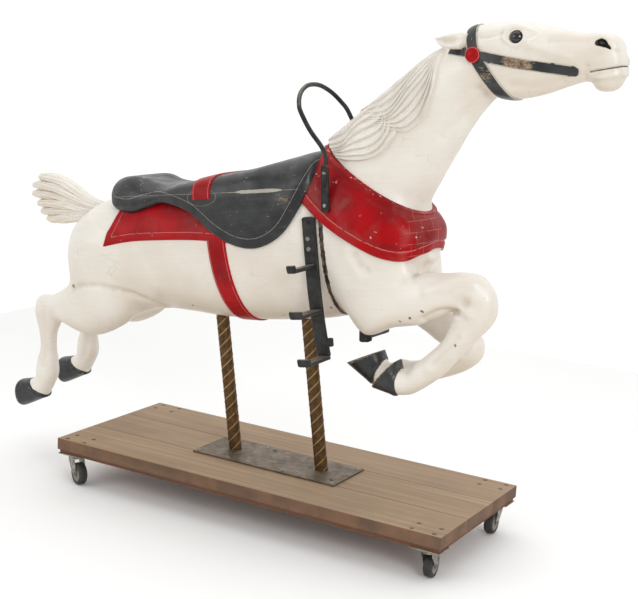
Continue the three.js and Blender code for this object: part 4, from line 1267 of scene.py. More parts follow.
def hoof(rows, sole):
    """Rings from inside the leg over the coronet to the sole."""
    rows = np.asarray(rows, float)
    top, above = rows[-1], rows[-2]
    foot = np.array([*sole[0], *sole[1], sole[2], top[5]])
    swell = np.array([top[0] - top[2], top[1] - top[3]])
    swell = unit(swell)

    def grown(row, by):
        made = row.copy()
        made[:2] += swell * by
        made[2:4] -= swell * by
        made[4] += by
        return made

    wall = [grown(top + (above - top) * 0.5, -10), grown(top + (above - top) * 0.12, 0.5),
            grown(top, 3.2), grown(top + (foot - top) * 0.08, 3.8)]
    wall += [grown(top + (foot - top) * t, 3.2 * (1 - t)) for t in (0.2, 0.4, 0.6, 0.8, 0.94)]
    wall += [grown(foot, -0.6)]
    rings = oval_rings(curve(wall, 3), 48, 1.15)
    sole_middle = rings[-1].mean(0)
    inward = unit(rings[0].mean(0) - sole_middle)
    for share, deep in ((0.97, -0.8), (0.88, -0.6), (0.82, 2.5), (0.5, 5), (0.2, 6)):
        ring = sole_middle + (rings[len(curve(wall, 3)) - 1] - sole_middle) * share + inward * deep
        rings = np.concatenate([rings, ring[None]])
    return rings


def no_marks(points):
    """The attributes of cream paint without knocks or black places."""
    return {"chip": np.full(len(points), 2.0), "dark": np.full(len(points), 9.0)}


for side, name in SIDES:
    points, faces = closed(ear(side))
    on_horse("ear_" + name, (points, faces), CREAM, WOOD,
          hollow=hollowness(points, faces[0], 0.6), **no_marks(points))
for name, rows in (("fore_right", FORE_RIGHT), ("fore_left", FORE_LEFT),
                   ("hind_right", HIND_RIGHT), ("hind_left", HIND_LEFT)):
    rings = hoof(rows, SOLES[name])
    points, faces = closed(rings)
    edge = np.zeros(len(rings))         # worn brown at the sole's edge and along the coronet
    edge[-9:-4], edge[2:6] = 1.0, 0.45
    on_horse("hoof_" + name, (points, faces), HOOF_BLACK, WOOD,
          rim=np.full(len(points), 99.0), worn=np.concatenate([np.repeat(edge, rings.shape[1]), [0, 0.3]]))


# %% Eyes
EYE = {"at": (949, 54, 1240), "radius": 20.5}


def glass(tree):
    """Dark brown glass, almost black, blown and very smooth, with a faint cloud."""
    cloud = patches(tree, level(tree), 60, 0.3, 0.7)
    return {"Base Color": coats(tree, "#0B0B0D", (cloud, "#1A1714")), "Roughness": 0.06,
            "Coat Weight": 0.6}


def ball_rings(centre, radius, sides=40, rows=24):
    """Rings of a ball about its y axis, the ends left a hair open."""
    angle = np.linspace(0.03, math.pi - 0.03, rows)[:, None]
    turn = turns(sides)[None, :]
    ball = np.stack([np.sin(angle) * np.cos(turn), np.cos(angle) + 0 * turn,
                     np.sin(angle) * np.sin(turn)], -1)
    return np.asarray(centre, float) + ball * radius


GLASS = finish_of("dark_glass", glass)
for side, name in SIDES:
    u, y, w = EYE["at"]
    points, faces = closed(ball_rings((u, side * y, w), EYE["radius"]))
    on_horse("glass_eye_" + name, (points, faces), GLASS, "eye_glass", ("eye_" + name,))

# %% [markdown]
# ## Saddle, cloths and bridle pieces

# %% Saddle and cloths
def cloth_piece(name, grids, material, rim, worn):
    points, faces = pillow(*grids)
    values = {"rim": rim(points), "worn": worn(points)}
    return on_horse(name, (points, faces), material, WOOD, **values)


on_horse("saddle", (saddle_points, saddle_faces), SADDLE_BLACK, WOOD, ("horse",),
      rim=to_edge(saddle_points, saddle_edge),
      worn=np.exp(-((saddle_points[:, 0] - 205) / 42) ** 2
                  - ((saddle_points[:, 2] - 842) / 26) ** 2))
cloth_piece("blanket", blanket_grid(), BLANKET_RED,
            lambda p: np.minimum(to_edge(p, np.array(BLANKET_REAR)), to_edge(p, curve(BLANKET_FOOT, 6))),
            lambda p: np.full(len(p), 0.25))
girth_up = (GIRTH["top"][0] - GIRTH["foot"][0], GIRTH["top"][1] - GIRTH["foot"][1])
girth_middle = ((GIRTH["top"][0] + GIRTH["foot"][0]) / 2, (GIRTH["top"][1] + GIRTH["foot"][1]) / 2)


def to_line(line, wide):
    """Distance in from the edge of a band along a line in the side view."""
    line = np.asarray(line, float)
    return lambda p: wide / 2 - to_edge(p, line)


cloth_piece("girth", hoop_strap(girth_middle, girth_up, GIRTH["wide"], 5.0, (40, 320), 260,
                                body_field, BODY_AXES, 25), STRAP_RED,
            to_line([GIRTH["top"], GIRTH["foot"]], GIRTH["wide"]), lambda p: np.full(len(p), 0.2))
points, faces = closed(collar_rings)
height = np.concatenate([collar_height.ravel(), [0, 1]])
on_horse("breast_collar", (points, faces), COLLAR_RED, WOOD, ("horse",),
      rim=height * 150, worn=np.full(len(points), 1.0))


def seat_strap(low=857, columns=15, steps=160, wide=70, thick=4.0):
    """A band right over the seat at one u, as far down as low on both sides. Each column
    is one slice of the saddle, spaced evenly and lifted along the slice's normal."""
    across = spaced(columns, wide)
    rows = curve(SADDLE, 16)
    skins = []
    for u in -85 + across * wide / 2:
        half = saddle_half([np.interp(u, rows[:, 0], rows[:, k]) for k in range(4)], 400)
        half = half[half[:, 1] > low]
        half = half[np.linspace(0, len(half) - 1, steps // 2).astype(int)]
        whole = np.concatenate([half[1:][::-1] * [-1, 1], half])
        skins.append(np.column_stack([np.full(len(whole), u), whole]))
    skin = np.stack(skins, 1)
    ahead = unit(np.gradient(skin, axis=0))
    outward = np.stack([0 * ahead[..., 0], -ahead[..., 2], ahead[..., 1]], -1)
    outward *= np.sign(outward[..., 2:] + 0.5)
    end = from_ends(len(skin))[:, None]
    proud = rounded(across[None, :], wide, thick) * np.minimum(1, end / 2) - 3 * (end == 0)
    return skin + outward * proud[..., None], skin - outward * 5


cloth_piece("seat_strap", seat_strap(), STRAP_RED, lambda p: 35 - np.abs(p[:, 0] + 85),
            lambda p: np.full(len(p), 0.2))

# %% Bridle
STRAP_THICK = 4.0


def bridle_strap(name, grids, line, wide):
    """A black strap; its worn patches lie on the cheek, at u = 952, and below the rosette."""
    cloth_piece(name, grids, BRIDLE_BLACK, to_line(line, wide),
                lambda p: 1.5 * np.exp(-((p[:, 0] - 952) / 44) ** 4)
                + np.exp(-((p[:, 0] - 853) / 26) ** 2 - ((p[:, 2] - 1150) / 30) ** 2))


for name, end, wide in (("crown_strap", CROWN, 39), ("throat_strap", THROAT, 41)):
    up = (end[0] - ROSETTE[0], end[1] - ROSETTE[1])
    beyond = (ROSETTE[0] + up[0] * 1.5, ROSETTE[1] + up[1] * 1.5)
    bridle_strap(name, hoop_strap(ROSETTE, up, wide, STRAP_THICK, (-93, 93), 150,
                                  head_field, HEAD_AXES), [ROSETTE, beyond], wide)
CHEEK = [(826, 1205), (851, 1198), (952, 1168), (1046, 1144), (1098, 1131), (1108, 1128)]
BACK = [(812, 1212), (770, 1222), (734, 1231)]
for side, name in SIDES:
    bridle_strap("cheek_strap_" + name, side_strap(CHEEK, 31, STRAP_THICK, side, 160, head_field,
                                                   HEAD_AXES, point=22), CHEEK, 31)
    bridle_strap("back_strap_" + name, side_strap(BACK, 28, STRAP_THICK, side, 30, body_field,
                                                  BODY_AXES), BACK, 28)


def lathe(profile, centre, axis, sides=32):
    """Rings of a turned shape: profile rows are [radius, height] along the axis."""
    profile = np.asarray(profile, float)
    axis = unit(np.asarray(axis, float))
    aside = unit(np.cross(axis, [0.31, 0.2, 0.93] if abs(axis[2]) < 0.9 else [1, 0, 0]))
    third = np.cross(axis, aside)
    angle = turns(sides)[None, :, None]
    return (np.asarray(centre, float) + profile[:, 1, None, None] * axis
            + profile[:, 0, None, None] * (np.cos(angle) * aside + np.sin(angle) * third))


for side, name in SIDES:
    profile = [[22, 50], [22.5, 76], [21.5, 79], [19.5, 79.6], [18.2, 77.6], [16.5, 78.4],
               [12, 81.6], [6, 83.4], [1, 84]]
    points, faces = closed(lathe(profile, (ROSETTE[0], 0, ROSETTE[1]), (0, side, 0), 48))
    radius = np.hypot(points[:, 0] - ROSETTE[0], points[:, 2] - ROSETTE[1])
    on_horse("rosette_" + name, (points, faces), STRAP_RED, WOOD,
          rim=26.5 - radius, worn=np.full(len(points), 0.3))

# %% [markdown]
# ## Mane and tail
#
# The mane lies on the neck as two lobes of overlapping locks. Across a lobe the height
# is a saw: each lock starts low under the one above it, swells, and ends in a sharp lower
# edge. Fine combed grooves run along every lock.

# %% Mane
UPPER = {"locks": 9,
         "low": [[6.1, 0.9], [5.7, 0.72], [5.3, 0.46], [4.9, 0.23], [4.4, 0.02], [3.97, -0.12],
                 [3.6, -0.2], [3.2, -0.14], [3, 0.07], [2.75, 0.36], [2.5, 0.66]],
         "high": [[6.2, 1], [5.85, 1], [5.45, 1], [5.05, 0.98], [4.6, 0.95], [4.2, 0.93],
                  [3.8, 0.93], [3.45, 0.94], [3.2, 0.95], [2.95, 0.98], [2.7, 1]]}
LOWER = {"locks": 7,
         "low": [[3.3, 0.25], [3, 0.02], [2.6, -0.03], [2.1, -0.03], [1.6, 0.06], [1.15, 0.26],
                 [0.85, 0.56]],
         "high": [[3.4, 0.95], [3, 0.94], [2.5, 0.93], [2, 0.93], [1.6, 0.94], [1.2, 0.96],
                  [0.9, 1]]}


def on_neck(along, across, side):
    """Points and outward normals of the neck's ovals: along counts its slices, across
    runs from the throat at -1 to the crest at 1."""
    rows = pick(NECK, along)
    middle, half = halves(rows)
    out = np.sqrt(np.maximum(0, 1 - across ** 2))
    points = np.stack([middle[..., 0] + half[..., 0] * across, side * rows[..., 4] * out,
                       middle[..., 1] + half[..., 1] * across], -1)
    normal = half * (across / np.einsum("...i,...i->...", half, half))[..., None]
    normal = np.stack([normal[..., 0], side * out / rows[..., 4], normal[..., 1]], -1)
    return points, unit(normal)


def lobe_grid(lobe, side, few=None, steps=124, fine=14, ridge=16.0, valley=4.0):
    """The lobe's skin and a sunk twin of it. v runs over the locks from the lower line;
    within a lock, as within goes from 0 to 1, the height climbs over the first tenth and
    falls as (1 - within)^0.75, with combed grooves. few makes the upper locks alone."""
    locks = lobe["locks"]
    few = few or locks
    row = np.linspace(0, len(lobe["low"]) - 1, steps)
    low, high = pick(lobe["low"], row)[:, None], pick(lobe["high"], row)[:, None]
    count = few * fine + 1
    v = np.linspace(locks - few, locks, count)[None, :]
    run = (row / (len(lobe["low"]) - 1))[:, None]
    sway = 0.55 * np.sin(run * 8 + v * 0.9) * np.sin(math.pi * np.clip(v / locks, 0, 1))
    share = np.clip((v + sway) / locks, 0, 1)
    spot = low + (high - low) * share[..., None]
    points, normal = on_neck(spot[..., 0], spot[..., 1] * (1 if side < 0 else 0.985), side)
    number = np.floor(np.minimum(v, locks - 1e-6))
    within = v - number
    taper = 0.3 + 0.7 * np.sin(math.pi * (0.06 + 0.88 * run)) ** 0.8
    rise = np.clip(within / 0.10, 0, 1)
    height = rise ** 0.5 * (1 - within) ** 0.75
    comb = (np.sin(within * 2 * math.pi * 4 + 2.2 * np.sin(run * 9 + number))
            + 0.5 * np.sin(within * 2 * math.pi * 7 + number + 2 * np.sin(run * 6)))
    proud = (valley + (ridge - valley) * height + 1.1 * comb * rise) * taper
    rim = np.minimum(np.arange(count), 2) / 2
    proud = proud * rim - 7 * (1 - rim)
    ends = np.minimum(from_ends(steps), 3)[:, None] / 3
    proud = proud * ends - 7 * (1 - ends)
    return points + normal * proud[..., None], points - normal * 12, comb


def hair_piece(name, outer, inner, comb):
    points, faces = pillow(outer, inner)
    n = outer.shape[0] * outer.shape[1]
    # the combed grooves count as hollows too, where the paint lays dust and painted shade
    hollow = np.concatenate([np.clip(-comb.ravel() * 0.35 - 0.1, 0, 1), np.zeros(n)])
    hollow = np.maximum(hollow, hollowness(points, faces[0], 0.9))
    on_horse(name, (points, faces), HAIR, WOOD, hollow=hollow, **no_marks(points))


hair_piece("mane_upper_right", *lobe_grid(UPPER, -1))
hair_piece("mane_lower_right", *lobe_grid(LOWER, -1))
hair_piece("mane_upper_left", *lobe_grid(UPPER, 1, 4))
hair_piece("mane_lower_left", *lobe_grid(LOWER, 1, 3))

# %% Tail
TAIL = {"root": (-600, 836), "dock": (-672, 850), "thick": 27,
        "tips": [(-888, 968), (-918, 944), (-928, 914), (-906, 880), (-896, 852), (-868, 826)]}


def tail_lock(k, steps=56, sides=72):
    """An oval sweep from the rump to one tip, with wavy combed grooves: radius times
    1 + 0.06 cos(9 angle + a wave along the lock) + 0.03 cos(17 angle - 5 along)."""
    spread = (k - (len(TAIL["tips"]) - 1) / 2) * -11
    root, dock, tip = TAIL["root"], np.array(TAIL["dock"], float), np.array(TAIL["tips"][k], float)
    dock = dock + [0, spread * 0.9]
    path = curve([(root[0], root[1] + spread * 0.6), dock, (dock + tip) / 2 + [0, 10 + spread * 0.5],
                  dock + (tip - dock) * 0.86 + [0, 4 + spread * 0.3], tip], steps // 4)
    at = np.linspace(0, 1, len(path))[:, None]
    ahead = unit(np.gradient(path, axis=0))
    taper = 0.35 + 0.65 * np.sin(math.pi * np.clip(at * 0.86 + 0.1, 0, 1))
    taper = taper * np.clip((1 - at) / 0.07, 0.08, 1) ** 0.5
    angle = turns(sides)[None, :]
    comb = 1 + 0.06 * np.cos(9 * angle + 3 * np.sin(at * 7 + k)) + 0.03 * np.cos(17 * angle - 5 * at + k)
    wide = 19 * taper * comb * np.cos(angle)
    deep = (TAIL["thick"] + 6 * (k % 2)) * taper * comb * np.sin(angle)
    return np.stack([path[:, :1] - ahead[:, 1:] * wide, deep, path[:, 1:] + ahead[:, :1] * wide], -1), comb


for k in range(len(TAIL["tips"])):
    rings, comb = tail_lock(k)
    points, faces = closed(rings)
    # the grooves between strands count as hollows, where the paint lays dust and painted shade
    hollow = np.concatenate([np.clip((1 - comb.ravel()) * 9, 0, 1), [0, 0]])
    on_horse(f"tail_lock_{k + 1}", (points, faces), HAIR, WOOD, hollow=hollow,
          **no_marks(points))

# %% [markdown]
# ## Irons
#
# The hand hoop is a round black rod swept along a smooth path, with two flattened feet.
# The foot irons are flat bars with three pegs each. Bars are pillows between two grids;
# an empty screw hole is pressed into the outer one.

# %% Iron finish
def iron(tree):
    """Old black paint on wrought iron, dull, rubbed to dark metal and a little rust."""
    at = level(tree)
    rust = patches(tree, at, 70, 0.56, 0.68, detail=5.0)
    dust = reckon(tree, facing_up(tree, 0.6, 0.95), "*", patches(tree, at, 30, 0.2, 0.5))
    pits = add(tree, "TexNoise", {"Vector": at, "Scale": 260.0, "Detail": 4.0})
    return {"Base Color": coats(tree, "#1C1C1D", (patches(tree, at, 30, 0.35, 0.7), "#333331"),
                                (reckon(tree, rust, "*", 0.35), "#4A3D33"),
                                (reckon(tree, dust, "*", 0.75), "#8B8072")),
            "Roughness": add(tree, "MapRange", {"Value": patches(tree, at, 90, 0.3, 0.7),
                                                "To Min": 0.36, "To Max": 0.6}),
            "Metallic": 0.35,
            "Normal": add(tree, "Bump", {"Height": pits, "Distance": 0.0008, "Strength": 0.5})}


def zinc(tree):
    """Bright zinc plating gone dull, with brown dirt."""
    at = add(tree, "TexCoord").outputs["Object"]
    return {"Base Color": coats(tree, "#9C988F", (patches(tree, at, 60, 0.4, 0.7), "#5F594F")),
            "Roughness": add(tree, "MapRange", {"Value": patches(tree, at, 90, 0.3, 0.7),
                                                "To Min": 0.35, "To Max": 0.6}),
            "Metallic": 0.6}


IRON, ZINC = finish_of("black_wrought_iron", iron), finish_of("dull_zinc", zinc)
HOOP_ROD = 7
HOOP_RISE = [[360, 880, 161], [366, 925, 158], [362, 960, 146], [349, 990, 140], [314, 1042, 140],
             [288, 1098, 140], [277, 1122, 127], [268, 1145, 105], [262, 1162, 78], [258, 1176, 40]]
HOOP_FEET = [(354, 798), (366, 936)]


def sweep(path, section, aside):
    """Rings of a section (m, 2) along a path (n, 3); its first axis lies along aside, made
    square to the path, its second along the cross product."""
    path = np.asarray(path, float)
    ahead = unit(np.gradient(path, axis=0))
    aside = np.broadcast_to(np.asarray(aside, float), path.shape)
    first = unit(aside - ahead * np.einsum("ij,ij->i", aside, ahead)[:, None])
    second = np.cross(ahead, first)
    section = np.broadcast_to(section, (len(path),) + np.shape(section)[-2:])
    return (path[:, None] + section[..., :1] * first[:, None] + section[..., 1:] * second[:, None])


def round_section(radius, sides=20):
    angle = turns(sides)
    return radius * np.stack([np.cos(angle), np.sin(angle)], -1)


def slab_section(wide, thick, power=7.0, sides=40):
    """A rectangle with rounded corners: cos and sin to the power 2 / power."""
    c, s = squared(turns(sides), 2 / power)
    return np.stack([c * wide / 2, s * thick / 2], -1)


rise = [(u, -y, w) for u, w, y in HOOP_RISE]
arch = rise + [(257, 0, 1180)] + [(u, -y, w) for u, y, w in reversed(rise)]
on_horse("hoop_rod", closed(sweep(curve(arch, 12), round_section(HOOP_ROD), (0.3, 0.1, 1))), IRON,
      "black_iron", ("hand_hoop",))


def flat_bar(line, wide, thick, side, corner, holes, step=2.0):
    """A flat bar up a line of (u, w, y of the outer face): a pillow whose outer grid has
    rounded edges and a dish of 6 mm radius for each empty hole, given in mm along it."""
    line = np.asarray(line, float)
    fine = curve(line, 16)
    length = run_along(fine)
    run = np.linspace(0, length[-1], int(length[-1] / step) + 1)
    at = np.stack([np.interp(run, length, fine[:, k]) for k in range(3)], -1)
    ahead = unit(np.gradient(at, axis=0))
    columns = int(wide / step) + 1
    across = np.linspace(-1, 1, columns)[None, :]
    end = np.minimum(run, run[-1] - run)
    round_end = np.where(end < corner, corner - np.sqrt(np.maximum(corner ** 2 - (corner - end) ** 2, 0)), 0)
    half = (wide / 2 - round_end)[:, None] * across
    outer = np.stack([at[:, :1] - ahead[:, 1:2] * half, side * (at[:, 2:3] + 0 * half),
                      at[:, 1:2] + ahead[:, :1] * half], -1)
    bevel = np.clip((wide / 2 - np.abs(half)) / 2.0, 0, 1)
    drop = 2.0 * (1 - np.sqrt(1 - (1 - bevel) ** 2))
    for hole in holes:
        far = np.hypot(run[:, None] - hole, half)
        drop = drop + 6.0 * np.clip((6.5 - far) / 1.5, 0, 1)
    inner = outer.copy()
    outer[..., 1] -= side * drop
    inner[..., 1] -= side * (thick - np.clip(1 - bevel, 0, 1) * 1.5)
    return pillow(outer, inner)


def dome(name, centre, side, radius, high):
    """A zinc screw head on a flank: a low turned cap, its foot sunk a little."""
    profile = [[radius, -1.0], [radius, high * 0.35], [radius * 0.8, high * 0.8],
               [radius * 0.45, high], [radius * 0.05, high]]
    return on_horse(name, closed(lathe(profile, centre, (0, side, 0), 14)), ZINC,
                    "castor_zinc")


for side, name in SIDES:
    foot = [(u, w, 164) for u, w in (HOOP_FEET[0], (360, 867), HOOP_FEET[1])]
    on_horse("hoop_foot_" + name, flat_bar(foot, 26, 7, side, 11, [78], 1.6), IRON, "black_iron")
    for k, share in enumerate((0.15, 0.83)):
        u, w = np.array(HOOP_FEET[0]) * (1 - share) + np.array(HOOP_FEET[1]) * share
        dome(f"hoop_screw_{name}_{k + 1}", (u, side * 164, w), side, 6, 2.6)

# %% Foot irons
STIRRUP_U, STIRRUP_WIDE, STIRRUP_THICK = 290, 44, 11
STIRRUP_BEND = [(290, 788, 158), (290, 600, 161), (290, 500, 156), (290, 420, 146), (290, 362, 135)]
PEGS = {"right": [(647, 28), (511, 42), (366, 42)], "left": [(647, 28), (511, 42), (386, 42)]}
PEG_LONG, PEG_THICK, PEG_LIP = 122, 13, 9
for side, name in SIDES:
    on_horse("stirrup_bar_" + name, flat_bar(STIRRUP_BEND, STIRRUP_WIDE, STIRRUP_THICK, side, 10,
                                          [20]), IRON, "black_iron", ("stirrup_" + name,))
    bend = np.array(STIRRUP_BEND, float)
    for k, (w, wide) in enumerate(PEGS[name]):
        out = np.interp(w, bend[::-1, 1], bend[::-1, 2])
        path = curve([(out - 6, w - 6.5), (out + 40, w - 7), (out + PEG_LONG - 16, w - 8),
                      (out + PEG_LONG - 10, w - 5), (out + PEG_LONG - 8, w + PEG_LIP)], 8)
        path = np.stack([np.full(len(path), STIRRUP_U), side * path[:, 0], path[:, 1]], -1)
        thin = np.interp(np.arange(len(path)), [0, len(path) - 12, len(path) - 4, len(path) - 1],
                         [PEG_THICK, PEG_THICK, 15, 9])
        section = np.stack([slab_section(wide, t, 5.0) for t in thin])
        on_horse(f"peg_{name}_{k + 1}", closed(sweep(path, section, (1, 0, 0))), IRON, "black_iron")
    for k, w in enumerate((723, 692)):
        dome(f"stirrup_screw_{name}_{k + 1}", (STIRRUP_U - 4, side * 160, w), side, 7, 3.0)
    lug = [(STIRRUP_U + 30, 395, 144), (STIRRUP_U + 30, 421, 144)]
    on_horse("stirrup_lug_" + name, flat_bar(lug, 18, 11, side, 4, []), IRON, "black_iron")

# %% [markdown]
# ## Twisted poles
#
# Three thin ridges wind up each pole like a three-start thread: the radius depends on
# three times the angle plus a turn for every ridge of height. The foot is cut level where
# it stands on the raked plate, so each column of points starts at its own height.

# %% Poles
POLE_RADIUS, POLE_LEAD, POLE_TOP = 22, 35, 545


def pole_rings(u, sides=52, steps=340):
    """radius = 20.6 plus 1.2 of a thin ridge, three of which wind up side by side."""
    angle = turns(sides)[None, :]
    foot = (0.3 - (u + POLE_RADIUS * np.cos(angle)) * math.sin(RAKE)) / math.cos(RAKE)
    w = foot + (POLE_TOP - foot) * np.linspace(0, 1, steps)[:, None]
    phase = np.mod(3 * angle / (2 * math.pi) + w / POLE_LEAD, 1)
    ridge = np.exp(-((phase - 0.5) / 0.055) ** 2)
    radius = POLE_RADIUS - 1.4 + 1.2 * ridge + 0.5 * np.abs(phase - 0.5)
    return np.stack([u + radius * np.cos(angle), -radius * np.sin(angle), w], -1), ridge


def twisted_brass(tree):
    """Brass gone brown, rubbed bright on the ridges, with a painted highlight along them."""
    at = level(tree)
    # rubbed brass and a painted highlight: the ridges are painted light gold
    rubbed = reckon(tree, "ridge", "*", patches(tree, at, 35, 0.2, 0.5))
    return {"Base Color": coats(tree, "#4E3A23", (patches(tree, at, 60, 0.35, 0.65), "#664B2E"),
                                (rubbed, "#B59460")),
            "Roughness": add(tree, "MapRange", {"Value": rubbed, "To Min": 0.55, "To Max": 0.34}),
            "Metallic": 0.7}


BRASS = finish_of("twisted_brass_sleeve", twisted_brass)
for u, name in ((-163, "rear"), (163, "front")):
    rings, ridge = pole_rings(u)
    on_horse("twisted_pole_" + name, closed(rings), BRASS, "twisted_brass", ("pole_" + name,),
          ridge=np.concatenate([ridge.ravel(), [0, 0]]))

# %% [markdown]
# ## The rolling stand
#
# The boards, the plywood, the foot plate and the castors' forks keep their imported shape
# and only get finishes. Object coordinates run along the boards, so the grain does too.

# %% Stand finishes
BOARD_PITCH, BOARD_EDGE = 0.186, 0.279      # m, a board and its gap; the deck's edge in y


def planks(tree):
    """Weathered softwood, dull: grain along x, growth rings, knots, stains, and a tone of its
    own for each board, whose number is floor((y + edge) / pitch). The sides are darker than
    the tops: the sawn wood's own colour and painted shade."""
    at = add(tree, "TexCoord").outputs["Object"]
    y = add(tree, "SeparateXYZ", {0: at}).outputs["Y"]
    number = add(tree, "Math", {0: reckon(tree, y, "+", BOARD_EDGE, "/", BOARD_PITCH)},
                 operation="FLOOR")
    shift = add(tree, "CombineXYZ", {0: reckon(tree, number, "*", 0.63),
                                     1: reckon(tree, number, "*", 0.4), 2: 0.0})
    at = add(tree, "VectorMath", {0: at, 1: shift}, operation="ADD")
    along, slow, squat = (add(tree, "Mapping", {"Vector": at, "Scale": scale})
                          for scale in ((1.1, 26, 26), (0.32, 6, 6), (1, 1.5, 1)))
    grain = add(tree, "TexNoise", {"Vector": along, "Scale": 1.6, "Detail": 7.0,
                                   "Roughness": 0.62, "Distortion": 0.25})
    rings = add(tree, "TexWave", {"Vector": slow, "Scale": 1.6, "Distortion": 4.0, "Detail": 3.0,
                                  "Detail Scale": 0.7}, bands_direction="Y").outputs["Fac"]
    knot = add(tree, "TexVoronoi", {"Vector": squat, "Scale": 4.2, "Randomness": 1.0})
    spot = near(tree, knot.outputs["Distance"], 0.0, 0.028, 0.03)
    light = add(tree, "MapRange", {"Value": grain, "From Min": 0.35, "From Max": 0.66})
    # the sides' colour: sawn wood, darker, and painted shade on faces that don't face up
    edges = coats(tree, "#6E4830", (patches(tree, at, 8, 0.35, 0.65), "#472E1F"))
    return {"Base Color": coats(tree, "#977D61", (light, "#AE9679"),
                                (reckon(tree, rings, "*", 0.2), "#8B7058"),
                                (reckon(tree, number, "*", 0.33, "*", 0.3), "#8A7564"),
                                (reckon(tree, patches(tree, at, 3.5, 0.45, 0.75), "*", 0.45),
                                 "#84705E"),
                                (reckon(tree, spot, "*", 0.7), "#5A4230"),
                                (reckon(tree, facing_up(tree, 0.7, 0.3), "*", 0.8), edges)),
            "Roughness": 0.72,
            "Normal": add(tree, "Bump", {"Height": grain, "Distance": 0.0012, "Strength": 0.5})}


def ply(tree):
    """Plywood's sawn edge: plies of about 2.4 mm, light and dark by turns, stained orange."""
    at = add(tree, "TexCoord").outputs["Object"]
    plies = add(tree, "TexWave", {"Vector": at, "Scale": 66.0, "Distortion": 0.6, "Detail": 1.0,
                                  "Detail Scale": 0.2}, bands_direction="Z", wave_profile="SAW")
    return {"Base Color": coats(tree, "#84502C", (plies.outputs["Fac"], "#452817"),
                                (patches(tree, at, 12, 0.4, 0.65), "#5E3C26")),
            "Roughness": 0.7}


def steel(tree):
    """Hot-rolled plate: dark grey with brownish film and lighter scuffs."""
    at = add(tree, "TexCoord").outputs["Object"]
    scuffs = reckon(tree, patches(tree, at, 45, 0.5, 0.7), "*", 0.5)
    return {"Base Color": coats(tree, "#766857", (patches(tree, at, 16, 0.35, 0.65), "#5E5244"),
                                (scuffs, "#94815F")),
            "Roughness": add(tree, "MapRange", {"Value": patches(tree, at, 40, 0.3, 0.7),
                                                "To Min": 0.4, "To Max": 0.62}),
            "Metallic": 0.55}


def tread(tree):
    """Moulded dark rubber, dusty where it rolls, with a grey hub inside 24 mm."""
    at = add(tree, "TexCoord").outputs["Object"]
    hub = add(tree, "MapRange", {"Value": "radius", "From Min": 25.0, "From Max": 23.5})
    return {"Base Color": coats(tree, "#262523", (patches(tree, at, 70, 0.35, 0.7), "#3A3733"),
                                (hub, "#8B8880")),
            "Roughness": 0.62}


PLANKS, PLY, STEEL, TREAD = (finish_of(name, paint) for name, paint in (
    ("weathered_softwood", planks), ("plywood_edge", ply), ("hot_rolled_steel", steel),
    ("castor_tread", tread)))
KEPT = {"plywood_sheet": PLY, "foot_plate": STEEL}
KEPT.update({f"deck_board_{k}": PLANKS for k in (1, 2, 3)})
KEPT.update({f"castor_{k}_{part}": ZINC for k in (1, 2, 3, 4)
             for part in ("plate", "fork", "axle")})
for name, material in KEPT.items():
    NODES[name].data.materials.clear()
    NODES[name].data.materials.append(material)
print("packed nodes with a finish:", len(KEPT))

# %% Castor wheels and bolt heads
CASTOR_TURN = [336, 96, 272, 200]       # degrees that each wheel trails at rest
WHEEL = [[5.2, -13], [11, -13], [12, -11], [22, -10.5], [23, -13.2], [30, -13.8], [34, -13.2],
         [35.9, -11], [36.6, -7], [36.7, 0], [36.6, 7], [35.9, 11], [34, 13.2], [30, 13.8],
         [23, 13.2], [22, 10.5], [12, 11], [11, 13], [5.2, 13]]     # mm, radius and width
for k, turn in enumerate(CASTOR_TURN):
    low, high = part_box(f"castor_{k + 1}_wheel")
    middle = np.array([(a + b) / 2 for a, b in zip(low, high)])
    turned = math.radians(turn)
    rings = lathe(WHEEL, middle * 1000, (-math.sin(turned), math.cos(turned), 0), 48) / 1000
    n, m = rings.shape[:2]
    piece(f"wheel_{k + 1}", (rings.reshape(-1, 3), [grid_quads(n + 1, m, wrap=True) % (n * m)]),
          TREAD, "castor_wheel", (f"castor_{k + 1}_wheel",), body=f"wheel_{k + 1}",
          radius=np.repeat([row[0] for row in WHEEL], m))


def head_at(name, x, y, z, radius, high, material):
    """A bolt or screw head on a level face, given in mm from the deck's middle."""
    profile = [[radius, -0.5], [radius, high * 0.4], [radius * 0.82, high * 0.85],
               [radius * 0.4, high], [radius * 0.05, high]]
    points, faces = closed(lathe(profile, (0, 0, 0), (0, 0, 1), 16))
    points = points / 1000 + [DECK_X + x / 1000, y / 1000, z]
    return piece(name, (points, faces), material, "foot_steel")


DECK_TOP = PLANK_HIGH.z
CORNERS = [(x, y) for x in (-640, 640) for y in (-238, 238)]        # a castor's middle, mm
BOLTS = [(-36, -24), (36, -24), (-36, 24), (36, 24)]
for k, (x, y) in enumerate(CORNERS):
    for j, (dx, dy) in enumerate(BOLTS):
        head_at(f"deck_bolt_{4 * k + j + 1}", x + dx, y + dy, DECK_TOP, 7, 1.6,
                STEEL)
PLATE_SCREWS = [(-262, -92), (-262, 74), (-150, -92), (60, -92), (60, 74), (243, -92), (243, 74),
                (-100, 74)]
for k, (x, y) in enumerate(PLATE_SCREWS):
    head_at(f"plate_screw_{k + 1}", x, y, PLATE_Z, 6.5, 2.4, ZINC)

# %% [markdown]
# ## Studio
#
# A pale floor, a world that is white behind the piece and darker in front of it, as a
# studio's room is, and large soft lights. The camera stands at the height of
# the horse's head, a little to the front.

# %% Floor, light and camera
FLOOR_HALF = 2.6        # m
LAMPS = [               # name, place, aim, size in m, power in W
    ("key", (3.9, -3.0, 2.6), (0.5, 0, 0.9), 1.8, 78),
    ("fill", (-2.6, -3.6, 2.4), (0, 0, 0.8), 2.4, 34),
    ("top", (0.3, 0.6, 6.5), (0, 0, 0), 8.0, 150),
]
SENSOR, LENS = 36, 74.0313                              # mm
AZIMUTH, HEIGHT, ROLL = (math.radians(d) for d in (29.98, 11.51, 3.17))
CAMERA_AT = (2.139, -3.475, 1.519)


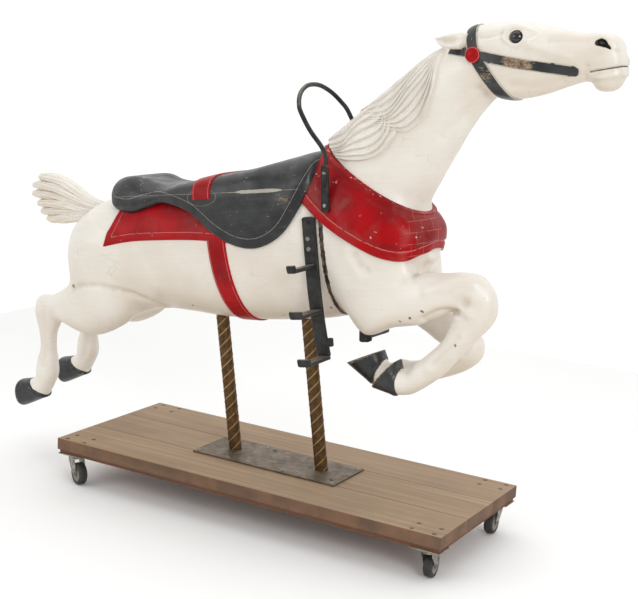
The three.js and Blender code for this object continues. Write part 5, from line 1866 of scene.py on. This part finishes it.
def floor_paint(tree):
    """Pale studio floor, matt, with faint clouds."""
    at = add(tree, "TexCoord").outputs["Object"]
    return {"Base Color": coats(tree, "#FBFBFA", (patches(tree, at, 0.6, 0.3, 0.7), "#F8F8F7")),
            "Roughness": 0.9}


def stand_in(name, data):
    """An object of the scene that is no piece of the horse."""
    made = bpy.data.objects.new(name, data)
    bpy.context.scene.collection.objects.link(made)
    return made


def studio():
    mesh = bpy.data.meshes.new("floor")
    corners = [(x * FLOOR_HALF, y * FLOOR_HALF, 0) for x, y in ((-1, -1), (1, -1), (1, 1), (-1, 1))]
    mesh.from_pydata(corners, [], [(0, 1, 2, 3)])
    mesh.materials.append(finish_of("pale_floor", floor_paint))
    stand_in("floor", mesh)
    world = bpy.data.worlds.new("soft_white")
    bpy.context.scene.world = world
    world.use_nodes = True
    tree = world.node_tree
    way = add(tree, "TexCoord").outputs["Generated"]
    behind = add(tree, "VectorMath", {0: way, 1: (-0.5, 0.866, 0)}, operation="DOT_PRODUCT")
    strength = add(tree, "MapRange", {"Value": behind.outputs["Value"], "From Min": -0.3,
                                      "From Max": 0.55, "To Min": 0.52, "To Max": 1.06},
                   interpolation_type="SMOOTHSTEP")
    tree.links.new(strength.outputs[0], tree.nodes["Background"].inputs["Strength"])
    tree.nodes["Background"].inputs["Color"].default_value = (1, 1, 1, 1)


def lamp(name, at, aim, size, power):
    """A square area light of a size in metres, aimed at a point."""
    data = bpy.data.lights.new(name, "AREA")
    data.size, data.energy = size, power
    made = stand_in(name, data)
    made.location = at
    made.rotation_euler = (Vector(aim) - Vector(at)).to_track_quat("-Z", "Y").to_euler()


studio()
for settings in LAMPS:
    lamp(*settings)
camera = stand_in("camera", bpy.data.cameras.new("camera"))
camera.data.sensor_width, camera.data.lens = SENSOR, LENS
back = Vector((math.sin(AZIMUTH) * math.cos(HEIGHT), -math.cos(AZIMUTH) * math.cos(HEIGHT),
               math.sin(HEIGHT)))
camera.rotation_mode = "QUATERNION"
camera.rotation_quaternion = (-back).to_track_quat("-Z", "Y") @ Quaternion((0, 0, 1), ROLL)
camera.location = CAMERA_AT
bpy.context.scene.camera = camera
bpy.context.scene.view_settings.view_transform = "Standard"
